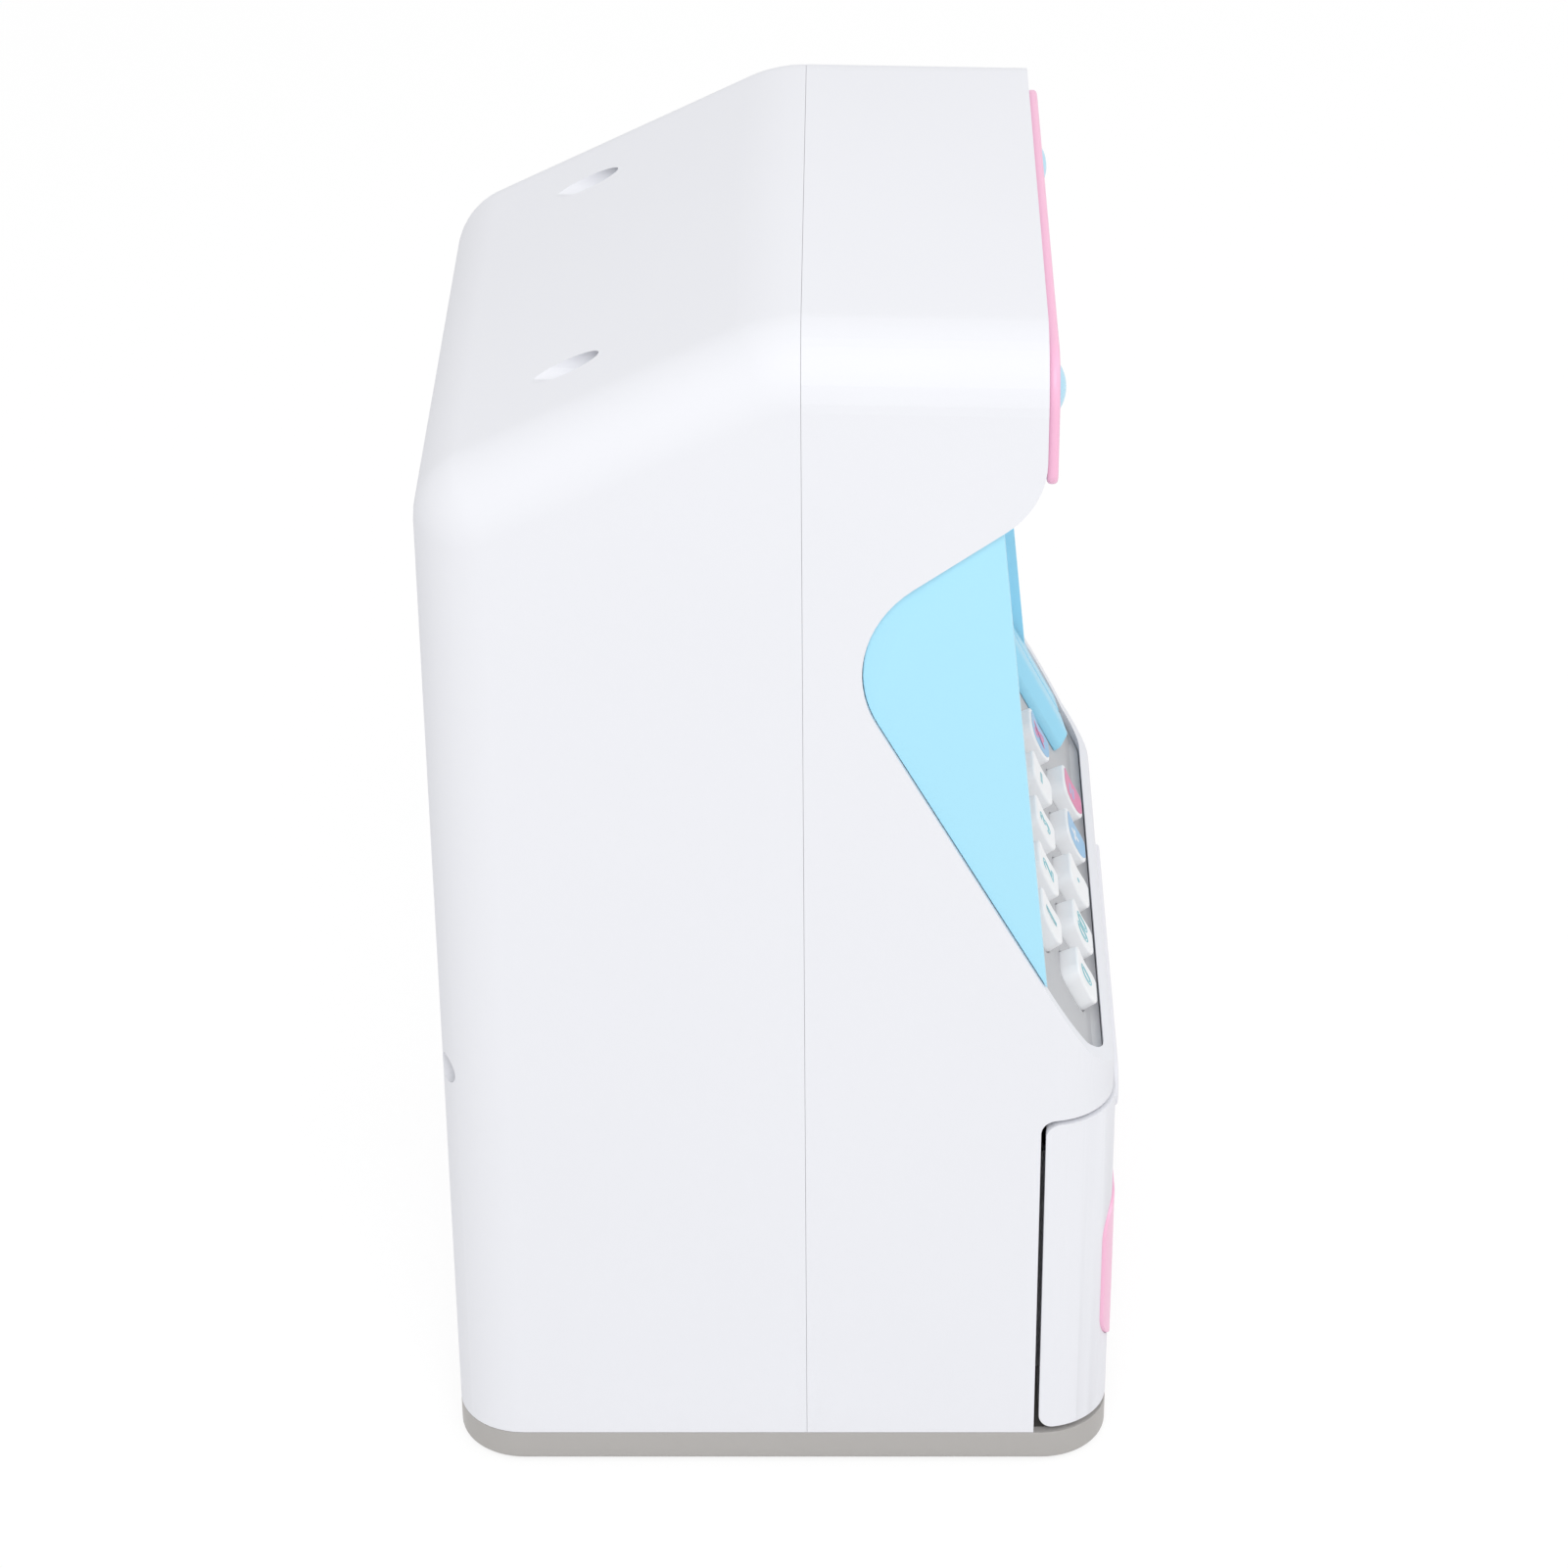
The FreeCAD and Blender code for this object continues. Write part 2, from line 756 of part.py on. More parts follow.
def make_rear_shell():
    start = "seam_y + seam_gap"
    outer = rear_envelope("rear_outer", "0", start, "base_top_z + seam_gap")
    inner = rear_envelope("rear_inner", "wall", "seam_y - 5", "-1")
    shell = cut("rear_skin", outer, [inner])

    added, holes = foot_bosses("rear")
    tubes = []
    for level in ("upper", "lower"):
        for side, at in both((level + "_screw_x", start, level + "_screw_z")):
            name = "%s_%s" % (side, level)
            tubes.append(rod(name + "_tube", at, "+y", "recess_radius + tube_wall", "rear_y - seam_y"))
            seat = (at[0], "seat_y", at[2])
            holes.append(rod(name + "_recess", seat, "+y", "recess_radius", "rear_y"))
            through = (at[0], "seam_y - 1", at[2])
            holes.append(rod(name + "_hole", through, "+y", "shell_hole", "seat_y - seam_y + 2"))
    added.append(common("rear_tubes", fuse("rear_tube_rods", tubes), outer))

    # A ring that holds the speaker, and the holes of its grille.
    ring_y = "rear_y - wall - ring_depth"
    ring_inside = "speaker_radius + ring_gap"
    ring_outer = rod(
        "ring_outer", (0, ring_y, "speaker_z"), "+y", ring_inside + " + ring_wall", "ring_depth + wall / 2")
    ring_inner = rod("ring_inner", (0, ring_y + " - 1", "speaker_z"), "+y", ring_inside, "ring_depth + 1")
    added.append(cut("speaker_ring", ring_outer, [ring_inner]))
    holes.append(make_grille())

    # Openings for the battery door and the power switch.
    holes.append(box(
        "door_opening",
        ("-door_half_width - door_gap", "rear_y - wall - 1", "door_low_z - door_gap"),
        ("door_half_width + door_gap", "rear_y + 1", "door_top_z + door_gap")))
    holes.append(box(
        "switch_slot",
        ("-slot_half_width", "rear_y - wall - 1", "switch_z - slot_half_height"),
        ("slot_half_width", "rear_y + 1", "switch_z + slot_half_height")))

    whole = fuse("rear_whole", [shell] + added)
    return hand_in("rear_shell", cut("rear_shell", whole, holes))


def make_grille():
    """Level sound slots in front of the speaker, shorter towards top and bottom, as one cutting tool."""
    slots = []
    for step in range(-2, 3):
        across = "grille_half_width - %d * grille_taper" % abs(step)
        level = "speaker_z + (%d) * grille_pitch" % step
        slots.append(box(
            "grille_slot_%d" % (step + 3),
            ("-(%s)" % across, "rear_y - wall - 1", level + " - grille_slot / 2"),
            (across, "rear_y + 1", level + " + grille_slot / 2")))
    return fuse("grille_slots", slots)


# Base tray, its rails and feet


def make_base_tray():
    outer = plan_prism("base_outer", "0", "base_z", "base_top_z", "front_y", "rear_y")
    round_edges(outer, lambda edge: near(middle(edge).z, "base_z"), "base_edge_round")
    floor_z = "base_z + base_floor"
    inner = plan_prism("base_inner", "wall", floor_z, "base_top_z + 1", "front_y + wall", "rear_y - wall")
    skin = cut("base_skin", outer, [inner])

    added = []
    holes = []
    for end in ("front", "rear"):
        for side, at in both(("base_screw_x", "base_screw_%s_y" % end, "base_z + 1")):
            name = "%s_%s_base" % (side, end)
            added.append(rod(name + "_boss", at, "+z", "base_boss_radius", "base_top_z - base_z - 1"))
            below = (at[0], at[1], "base_z - 1")
            holes.append(rod(name + "_hole", below, "+z", "base_hole", "base_top_z - base_z + 2"))
            holes.append(rod(name + "_sink", below, "+z", "base_sink", "base_sink_depth + 1"))
        for side, at in both(("foot_x", "foot_%s_y" % end, "base_z - 1")):
            name = "%s_%s_foot_seat" % (side, end)
            holes.append(rod(name, at, "+z", "foot_radius + 2 * fit", "foot_seat + 1"))

    # Each rail is a channel that takes the tongue on the drawer's side.
    rail = new_body("right_rail")
    sketch = new_sketch(rail, "XZ_Plane", "-opening_y - rail_setback")
    web_in = "tray_half_width + tongue_reach + rail_gap"
    web_out = web_in + " + rail_wall"
    lip = "tray_half_width + rail_gap"
    under = "tongue_z - rail_gap"
    over = "tongue_z + tongue_height + rail_gap"
    add_outline(sketch, [
        (web_in, "base_z + 1"),
        (web_out, "base_z + 1"),
        (web_out, over + " + rail_wall"),
        (lip, over + " + rail_wall"),
        (lip, over),
        (web_in, over),
        (web_in, under),
        (lip, under),
        (lip, under + " - rail_wall"),
        (web_in, under + " - rail_wall"),
    ])
    pad(rail, sketch, "tray_rear_y + rail_overrun - opening_y - rail_setback", reverse=True)
    added += [rail, mirrored("left_rail", rail)]

    # The peg that the drawer catch is fixed on.
    peg_height = "base_floor + catch_leaf"
    added.append(rod("catch_peg", (0, "catch_y", "base_z + 1"), "+z", "peg_radius", peg_height))
    return hand_in("base_tray", cut("base_tray", fuse("base_whole", [skin] + added), holes))


def make_feet():
    feet = []
    for end in ("front", "rear"):
        for side, at in both(("foot_x", "foot_%s_y" % end, 0.0)):
            name = "%s_%s_foot" % (side, end)
            feet.append(rod(name, at, "+z", "foot_radius", "base_z + foot_seat - fit"))
    return hand_in("rubber_feet", group("rubber_feet", feet))


def make_drawer_catch():
    """A leaf of spring steel on the tray's floor, bent up under the drawer."""
    body = new_body("catch_leaf_strip")
    sketch = new_sketch(body, "YZ_Plane")
    floor_z = "base_z + base_floor + fit"
    crest = "tray_low_z - rail_gap"
    mitre = 0.2
    add_outline(sketch, [
        ("catch_y - catch_tail", floor_z),
        ("catch_y + catch_bend", floor_z),
        ("catch_y + catch_rise", crest + " - catch_leaf"),
        ("catch_y + catch_fall", crest + " - catch_leaf"),
        ("catch_y + catch_tip", crest + " - catch_drop - catch_leaf"),
        ("catch_y + catch_tip", crest + " - catch_drop"),
        ("catch_y + catch_fall + %s" % mitre, crest),
        ("catch_y + catch_rise - %s" % mitre, crest),
        ("catch_y + catch_bend - %s" % mitre, floor_z + " + catch_leaf"),
        ("catch_y - catch_tail", floor_z + " + catch_leaf"),
    ])
    pad(body, sketch, "catch_width", "Symmetric")
    eye = rod("catch_eye", (0, "catch_y", "base_z"), "+z", "peg_radius + 2 * fit", "2 * base_floor")
    return hand_in("drawer_catch", cut("drawer_catch", body, [eye]))


# Drawer


def make_pull_form(name, proud, depth, grow):
    """The plate let into the drawer front: it follows the front face and both rounded corners."""
    over = "(-(%s))" % proud
    low = "pull_low_z - %s" % grow
    high = "pull_top_z + %s" % grow
    skin = plan_prism(name + "_skin", over, low, high, "front_y - %s" % proud, "drawer_back_y", False)
    past_back = "drawer_back_y + 1"
    core = plan_prism(
        name + "_core", depth, low + " - 1", high + " + 1", "front_y + %s" % depth, past_back, False)
    face = new_body(name + "_face")
    sketch = new_sketch(face, "XZ_Plane", "-(%s)" % past_back)
    across = "pull_half_width + %s" % grow
    add_rectangle(sketch, ("-(%s)" % across, low), (across, high))
    pad(face, sketch, "%s - front_y + 5" % past_back)
    round_edges(face, lambda edge: runs_along(edge, Y_AXIS), "pull_round + %s" % grow)
    return common(name, cut(name + "_band", skin, [core]), face)


def make_grip():
    """A low ledge across the drawer front, above the plate, for the fingers."""
    body = new_body("drawer_grip")
    behind = "front_y + wall / 2"
    sketch = new_sketch(body, "XZ_Plane", "-(%s)" % behind)
    add_rectangle(sketch, ("-grip_half_width", "grip_low_z"), ("grip_half_width", "grip_top_z"))
    pad(body, sketch, "%s - grip_y" % behind)
    round_edges(body, lambda edge: runs_along(edge, Y_AXIS), "grip_round")
    round_edges(body, lambda edge: near(middle(edge).y, "grip_y"), "grip_edge")
    return body


def drawer_screw_places(y):
    """Name and place of the four screws between the drawer's tray and its front, at the given depth."""
    for level in ("low", "high"):
        for side, at in both(("drawer_screw_x", y, "drawer_screw_%s_z" % level)):
            yield "%s_%s_drawer" % (side, level), at


def make_drawer_front():
    body = new_body("drawer_front_outer")
    sketch = new_sketch(body, "XY_Plane", "drawer_low_z")
    add_rectangle(sketch, ("-half_width", "front_y"), ("half_width", "drawer_back_y"))
    pad(body, sketch, "drawer_top_z - drawer_low_z")

    def front_corner(edge):
        return runs_along(edge, Z_AXIS) and near(middle(edge).y, "front_y")

    def back_edge(edge):
        spot = middle(edge)
        on_rim = near(spot.z, "drawer_top_z") or near(spot.z, "drawer_low_z")
        return on_rim and near(spot.y, "drawer_back_y")

    round_edges(body, front_corner, "corner_round")
    round_edges(body, back_edge, "opening_round")

    hollow = new_body("drawer_front_hollow")
    sketch = new_sketch(hollow, "XY_Plane", "drawer_low_z + wall")
    side = "half_width - wall"
    add_rectangle(sketch, ("-(%s)" % side, "front_y + wall"), (side, "drawer_back_y + 5"))
    pad(hollow, sketch, "drawer_top_z - drawer_low_z - 2 * wall")

    def inner_corner(edge):
        return runs_along(edge, Z_AXIS) and near(middle(edge).y, "front_y + wall")

    round_edges(hollow, inner_corner, "corner_round - wall")
    seat = make_pull_form("pull_seat", "1", "pull_depth + 2 * fit", "3 * fit")
    skin = cut("drawer_front_skin", body, [hollow, seat])

    added = [make_grip()]
    bores = []
    boss_length = "tray_front_y - fit - front_y - wall + free_gap"
    for name, at in drawer_screw_places("tray_front_y - fit"):
        added.append(rod(name + "_boss", at, "-y", "drawer_boss", boss_length))
        mouth = (at[0], "tray_front_y", at[2])
        bores.append(rod(name + "_bore", mouth, "-y", "drawer_bore", "tray_front_y - front_y - wall"))
    whole = fuse("drawer_front_whole", [skin] + added)
    return hand_in("drawer_front", cut("drawer_front", whole, bores))


def make_drawer_pull():
    form = make_pull_form("drawer_pull", "pull_proud", "pull_depth", "0")
    return hand_in("drawer_pull", form)


def make_drawer_tray():
    body = new_body("tray_block")
    sketch = new_sketch(body, "XY_Plane", "tray_low_z")
    add_rectangle(sketch, ("-tray_half_width", "tray_front_y"), ("tray_half_width", "tray_rear_y"))
    pad(body, sketch, "tray_top_z - tray_low_z")

    inside = "tray_half_width - tray_wall"
    front = "tray_front_y + tray_wall"
    back = "tray_rear_y - tray_wall"
    sketch = new_sketch(body, "XY_Plane", "tray_top_z")
    add_rectangle(sketch, ("-(%s)" % inside, front), (inside, back))
    pocket(body, sketch, "tray_top_z - divider_top_z")

    # Four coin wells across the front, and one long well for notes behind them.
    split = 0.0
    sketch = new_sketch(body, "XY_Plane", "divider_top_z")
    wells = 4
    pitch = "((2 * (%s) + divider) / %d)" % (inside, wells)
    for index in range(wells):
        left = "-(%s) + %d * %s" % (inside, index, pitch)
        add_rectangle(sketch, (left, front), ("%s + %s - divider" % (left, pitch), split))
    add_rectangle(sketch, ("-(%s)" % inside, "divider"), (inside, back))
    pocket(body, sketch, "divider_top_z - tray_low_z - tray_wall")

    tongue = box(
        "right_tongue",
        ("tray_half_width - tray_wall / 4", "tray_front_y + tongue_start", "tongue_z"),
        ("tray_half_width + tongue_reach", "tray_rear_y", "tongue_z + tongue_height"))
    whole = fuse("tray_whole", [body, tongue, mirrored("left_tongue", tongue)])
    holes = []
    for name, at in drawer_screw_places("tray_front_y - 1"):
        holes.append(rod(name + "_hole", at, "+y", "drawer_hole", "tray_wall + 2"))
    return hand_in("drawer_tray", cut("drawer_tray", whole, holes))


# Blue liner of the keyboard recess


def line_beside(start, end, distance):
    """The line from start to end, moved to its own left by the distance."""
    run = end - start
    aside = Vector(0, -run.z, run.y)
    aside.normalize()
    return (start + aside * distance, run)


def meet(first, second):
    """The point where two lines of the side view cross."""
    start, run = first
    other, other_run = second
    gap = other - start
    share = (gap.y * other_run.z - gap.z * other_run.y) / (run.y * other_run.z - run.z * other_run.y)
    return start + run * share


def side_point(y, z):
    return Vector(0, value(y), value(z))


def make_recess_liner():
    rim = side_point("rim_y", "rim_corner_z")
    deep = side_point("notch_y", "notch_z")
    tip = side_point("notch_end_y", "notch_end_z")
    cheek_top = side_point("cheek_top_y", "cheek_top_z")
    cheek_low = side_point("cheek_low_y", "cheek_low_z")
    cheek_edge = line_beside(cheek_top, cheek_low, 0)
    end = SLOPE.multVec(Vector(0, value("panel_step + free_gap"), 0))
    end_line = (end, SLOPE_TURN.multVec(Z_AXIS))

    def notch_lines(shift):
        """Both straight edges of the notch, moved back behind the wall by the shift."""
        return line_beside(rim, deep, shift), line_beside(deep, tip, shift)

    upper, lower = notch_lines(value("liner_behind"))
    plate = [meet(cheek_edge, upper), meet(upper, lower), meet(lower, end_line), meet(cheek_edge, end_line)]
    upper, lower = notch_lines(-value("free_gap"))
    infill = [meet(cheek_edge, upper), meet(upper, lower), meet(lower, cheek_edge)]

    cheek = new_body("right_cheek")
    outer = "half_width - wall - liner_gap"
    sketch = new_sketch(cheek, "YZ_Plane", outer + " - liner_thick")
    add_outline(sketch, [(point.y, point.z) for point in plate])
    pad(cheek, sketch, "liner_thick")
    sketch = new_sketch(cheek, "YZ_Plane", outer)
    add_outline(sketch, [(point.y, point.z) for point in infill])
    pad(cheek, sketch, "wall + liner_gap - cheek_recess")

    def deep_edge(edge):
        spot = middle(edge)
        inner = infill[1]
        return runs_along(edge, X_AXIS) and near(spot.y, inner.y) and near(spot.z, inner.z)

    round_edges(cheek, deep_edge, "notch_round - free_gap")

    ceiling = new_body("liner_ceiling")
    sketch = new_sketch(ceiling, "YZ_Plane")
    face_y = "notch_y - ceiling_inset"
    low_z = "notch_z - ceiling_drop"
    front_y = "rim_y + wall + 0.2"
    add_outline(sketch, [
        (face_y, low_z),
        (face_y, "notch_z + 3"),
        ("cheek_top_y + 0.6", "cheek_top_z + 0.3"),
        (front_y, "rim_wall_low_z + 2"),
        (front_y, "rim_wall_low_z + 4.8"),
        ("cheek_top_y + 1.4", "cheek_top_z + 2.5"),
        (face_y + " + liner_thick", "notch_z + 4.4"),
        (face_y + " + liner_thick", low_z),
    ])
    pad(ceiling, sketch, "2 * (half_width - wall - liner_gap - liner_thick / 2)", "Symmetric")
    liner = fuse("recess_liner", [ceiling, cheek, mirrored("left_cheek", cheek)])
    return hand_in("recess_liner", liner)


# Keyboard


COLUMNS = 5
ROWS = 4


def over_key_grid(body, feature):
    """Repeat a feature at every key."""
    grid = body.newObject("PartDesign::MultiTransform", body.Name + "_grid")
    grid.Originals = [feature]
    runs = []
    for role, pitch, count in (("X_Axis", "key_pitch_x", COLUMNS), ("Y_Axis", "key_pitch_y", ROWS)):
        pattern = body.newObject("PartDesign::LinearPattern", body.Name + "_" + role)
        pattern.Direction = (origin_feature(body, role), [""])
        pattern.setExpression("Length", cell("%d * %s" % (count - 1, pitch)))
        pattern.Occurrences = count
        runs.append(pattern)
    grid.Transformations = runs
    body.Tip = grid
    doc.recompute()
    return grid


POST_X = (-60.5, 40.0)
POST_Y = (-10.5, 56.5)
MAT_TOP = "(key_stem_end - key_travel - free_gap)"
BOARD_TOP = "(%s - mat_dome - mat_thick - fit)" % MAT_TOP


def row_outline():
    """Side view of the key rows: each row is a facet steeper than the panel, with a ledge above it."""
    reach = "(key_pitch_y - row_ledge) / 2"
    climb = "%s * tan(key_tilt)" % reach
    base = "-panel_thick / 2"
    start = "key_first_y - row_lift / tan(key_tilt)"
    last = "key_first_y + %d * key_pitch_y" % (ROWS - 1)
    back = "%s + key_pitch_y / 2 + row_ledge / 2" % last
    points = [(start, 0.0), (start, base), (back, base), (back, 0.0)]
    for row in reversed(range(ROWS)):
        centre = "key_first_y + %d * key_pitch_y" % row
        points.append(("%s + %s" % (centre, reach), "row_lift + " + climb))
        if row:
            points.append(("%s - %s" % (centre, reach), "row_lift - " + climb))
    return points


def make_keyboard_panel():
    body = new_body("panel_plate")
    sketch = new_sketch(body, "XY_Plane", "-panel_thick")
    wide = "half_width - wall - free_gap"
    narrow = "half_width - wall - liner_gap - liner_thick - 0.2"
    add_outline(sketch, [
        ("-(%s)" % wide, "panel_low"),
        (wide, "panel_low"),
        (wide, "panel_step"),
        (narrow, "panel_step"),
        (narrow, "panel_top"),
        ("-(%s)" % narrow, "panel_top"),
        ("-(%s)" % narrow, "panel_step"),
        ("-(%s)" % wide, "panel_step"),
    ])
    pad(body, sketch, "panel_thick")
    sketch = new_sketch(body, "YZ_Plane", "row_left")
    add_outline(sketch, row_outline())
    pad(body, sketch, "row_right - row_left")

    above = "key_rise"
    sketch = new_sketch(body, "XY_Plane", above)
    across = "key_width / 2 + key_gap"
    along = "key_length / 2 + key_gap"
    low = ("key_first_x - (%s)" % across, "key_first_y - (%s)" % along)
    high = ("key_first_x + %s" % across, "key_first_y + %s" % along)
    add_rectangle(sketch, low, high)
    hole = pocket(body, sketch, above + " + panel_thick + 1")
    over_key_grid(body, hole)

    # Posts under the panel, for the key board.
    sketch = new_sketch(body, "XY_Plane", "-panel_thick")
    for x in POST_X:
        for y in POST_Y:
            add_circle(sketch, (x, y), "post_radius")
    pad(body, sketch, "-panel_thick - %s - fit" % BOARD_TOP, reverse=True)
    sketch = new_sketch(body, "XY_Plane", BOARD_TOP + " + fit")
    for x in POST_X:
        for y in POST_Y:
            add_circle(sketch, (x, y), "post_bore")
    pocket(body, sketch, "post_bore_depth", reverse=True)
    lay_on_slope(body)
    room = plan_prism(
        "panel_room", "wall + 0.25", "base_top_z", "top_z", "lip_y + wall + 0.15", "seam_y + 10", False)
    return hand_in("keyboard_panel", common("keyboard_panel", body, room))


def make_key(label, column, row):
    """A hollow key cap with a tilted, dished top, a stop flange under the panel and a stem."""
    body = new_body(label)
    half_x = "key_width / 2"
    half_y = "key_length / 2"
    flange_top = "-panel_thick - free_gap"
    flange_low = "-panel_thick - free_gap - key_flange"
    crown = "key_rise + %s * tan(key_tilt)" % half_y

    sketch = new_sketch(body, "XY_Plane", flange_top)
    add_rectangle(sketch, ("-%s" % half_x, "-%s" % half_y), (half_x, half_y))
    pad(body, sketch, "%s - (%s)" % (crown, flange_top))
    round_edges(body, lambda edge: runs_along(edge, Z_AXIS), "key_corner")

    sketch = new_sketch(body, "YZ_Plane")
    past = "key_length"
    fall = past + " * tan(key_tilt)"
    add_outline(sketch, [
        ("-" + past, "key_rise - " + fall),
        (past, "key_rise + " + fall),
        ("-" + past, "key_rise + " + fall),
    ])
    pocket(body, sketch, "2 * key_width", "Symmetric")
    sketch = new_sketch(body, "YZ_Plane")
    arm = "(key_dish_radius - key_dish)"
    dish_centre = ("-%s * sin(key_tilt)" % arm, "key_rise + %s * cos(key_tilt)" % arm)
    add_circle(sketch, dish_centre, "key_dish_radius")
    pocket(body, sketch, "2 * key_width", "Symmetric")

    sketch = new_sketch(body, "XY_Plane", flange_low)
    reach_x = "%s + key_flange_reach" % half_x
    reach_y = "%s + key_flange_reach" % half_y
    add_rectangle(sketch, ("-(%s)" % reach_x, "-(%s)" % reach_y), (reach_x, reach_y))
    pad(body, sketch, "key_flange")

    sketch = new_sketch(body, "XY_Plane", flange_low)
    inner_x = "%s - key_shell" % half_x
    inner_y = "%s - key_shell" % half_y
    add_rectangle(sketch, ("-(%s)" % inner_x, "-(%s)" % inner_y), (inner_x, inner_y))
    hollow = "key_rise - key_dish - key_shell - (%s)" % flange_low
    pocket(body, sketch, hollow, reverse=True)

    sketch = new_sketch(body, "XY_Plane", "key_stem_end")
    add_cross(sketch, "key_stem_thick / 2", "key_stem_reach")
    pad(body, sketch, "key_rise - key_dish - key_shell / 2 - key_stem_end")

    x = "key_first_x + %d * key_pitch_x" % column
    y = "key_first_y + %d * key_pitch_y" % row
    lay_on_slope(body, x, y)
    return hand_in(label, body)


KEY_ROWS = (
    ("0", "00", "point", "plus", "equals"),
    ("1", "2", "3", "minus", "percent"),
    ("4", "5", "6", "times", "back"),
    ("7", "8", "9", "divide", "clear"),
)


def make_key_mat():
    """A rubber sheet with a low nub under every key."""
    body = new_body("key_mat")
    top = "%s - mat_dome" % MAT_TOP
    sketch = new_sketch(body, "XY_Plane", top + " - mat_thick")
    add_rectangle(sketch, ("mat_left", "mat_low"), ("mat_right", "mat_high"))
    pad(body, sketch, "mat_thick")
    sketch = new_sketch(body, "XY_Plane", top)
    low = ("key_first_x - mat_dome_half", "key_first_y - mat_dome_half")
    high = ("key_first_x + mat_dome_half", "key_first_y + mat_dome_half")
    add_rectangle(sketch, low, high)
    nub = pad(body, sketch, "mat_dome")
    over_key_grid(body, nub)
    return hand_in("key_mat", lay_on_slope(body))


def make_key_board():
    body = new_body("key_board")
    sketch = new_sketch(body, "XY_Plane", BOARD_TOP + " - board_thick")
    add_rectangle(sketch, ("board_left", "board_low"), ("board_right", "board_high"))
    pad(body, sketch, "board_thick")
    sketch = new_sketch(body, "XY_Plane", BOARD_TOP)
    for x in POST_X:
        for y in POST_Y:
            add_circle(sketch, (x, y), "board_hole")
    pocket(body, sketch, "board_thick")
    return hand_in("key_board", lay_on_slope(body))


def make_card_reader():
    """A low wedge up the right-hand side of the panel, with a groove for a card."""
    body = new_body("card_reader")
    sketch = new_sketch(body, "XZ_Plane", "-reader_low")
    groove_end = "groove_x + groove_width"
    add_outline(sketch, [
        ("reader_inner_x", "fit"),
        ("reader_outer_x", "fit"),
        ("reader_outer_x", "reader_outer_rise"),
        (groove_end, "groove_outer_rise"),
        (groove_end, "groove_floor"),
        ("groove_x", "groove_floor"),
        ("groove_x", "groove_inner_rise"),
        ("reader_ridge_x", "reader_ridge_rise"),
        ("reader_inner_x", "reader_inner_rise"),
    ])
    pad(body, sketch, "reader_top - reader_low", reverse=True)

    def long_edge(x, rise):
        def chosen(edge):
            spot = middle(edge)
            return runs_along(edge, Y_AXIS) and near(spot.x, x) and near(spot.z, rise)
        return chosen

    round_edges(body, long_edge("reader_ridge_x", "reader_ridge_rise"), "reader_ridge_round")
    round_edges(body, long_edge("reader_inner_x", "reader_inner_rise"), "reader_edge_round")
    return hand_in("card_reader", lay_on_slope(body))


# Display block


def make_display_bezel():
    body = new_body("display_bezel")
    sketch = new_sketch(body, "XZ_Plane", "-rim_y + fit")
    add_rectangle(sketch, ("-bezel_half_width", "bezel_low_z"), ("bezel_half_width", "bezel_top_z"))
    pad(body, sketch, "bezel_thick")
    round_edges(body, lambda edge: runs_along(edge, Y_AXIS), "bezel_corner")
    sketch = new_sketch(body, "XZ_Plane", "-rim_y + fit")
    add_rectangle(sketch, ("-window_half_width", "window_low_z"), ("window_half_width", "window_top_z"))
    for across in ("-dome_x", "dome_x"):
        add_circle(sketch, (across, "dome_z"), "dome_radius + dome_gap")
    pocket(body, sketch, "bezel_thick + 1", reverse=True)
    return hand_in("display_bezel", body)


def make_display_window():
    body = new_body("display_window")
    sketch = new_sketch(body, "XZ_Plane", "-rim_y + fit")
    side = "window_half_width - 3 * fit"
    add_rectangle(sketch, ("-(%s)" % side, "window_low_z + 3 * fit"), (side, "window_top_z - 3 * fit"))
    pad(body, sketch, "bezel_thick - window_setback")
    return hand_in("display_window", body)


def make_lcd_module():
    back = "rim_y + wall + 2 * fit"
    case = box(
        "lcd_module",
        ("-lcd_half_width", back, "lcd_low_z"),
        ("lcd_half_width", back + " + lcd_depth", "lcd_top_z"))
    return hand_in("lcd_module", case)


def make_display_board():
    face = "rim_y + wall + display_setback"
    plate = box(
        "display_plate",
        ("-display_board_half", face, "display_board_low_z"),
        ("display_board_half", face + " + board_thick", "display_board_top_z"))
    through = "display_setback + board_thick + 1"
    holes = []
    for side, at in both(("upper_screw_x", "rim_y + wall", "upper_screw_z")):
        holes.append(rod(side + "_boss_hole", at, "+y", "boss_radius + 0.4", through))
    for side, at in both(("display_post_x", "rim_y + wall", "display_post_z")):
        holes.append(rod(side + "_display_hole", at, "+y", "display_board_hole", through))
    return hand_in("display_board", cut("display_board", plate, holes))


def make_dome_button(side, across):
    """A push button with a domed cap; two ears behind the rim keep it in."""
    face = "rim_y - fit - bezel_thick"
    inner = "rim_y + wall + 2 * fit"
    ball_radius = "(dome_radius * dome_radius + dome_proud * dome_proud) / (2 * dome_proud)"
    cap_length = "wall + bezel_thick + 2 * dome_proud"
    cap_rod = rod(side + "_cap_rod", (across, inner, "dome_z"), "-y", "dome_radius", cap_length)
    ball = doc.addObject("Part::Sphere", side + "_ball")
    bind(ball, "Radius", ball_radius)
    place(ball, (across, "%s - dome_proud + %s" % (face, ball_radius), "dome_z"))
    cap = common(side + "_cap", cap_rod, ball)
    ears = box(
        side + "_ears",
        (across + " - dome_ear_half", inner, "dome_z - dome_ear_reach"),
        (across + " + dome_ear_half", inner + " + dome_ear_thick", "dome_z + dome_ear_reach"))
    stem = rod(side + "_stem", (across, inner, "dome_z"), "+y", "dome_stem_radius", "dome_stem_length")
    name = side + "_dome_button"
    return hand_in(name, fuse(name, [cap, ears, stem]))


# Rear wall: batteries, speaker, switch


DOOR_SCREW_Z = "door_top_z - door_screw_drop"


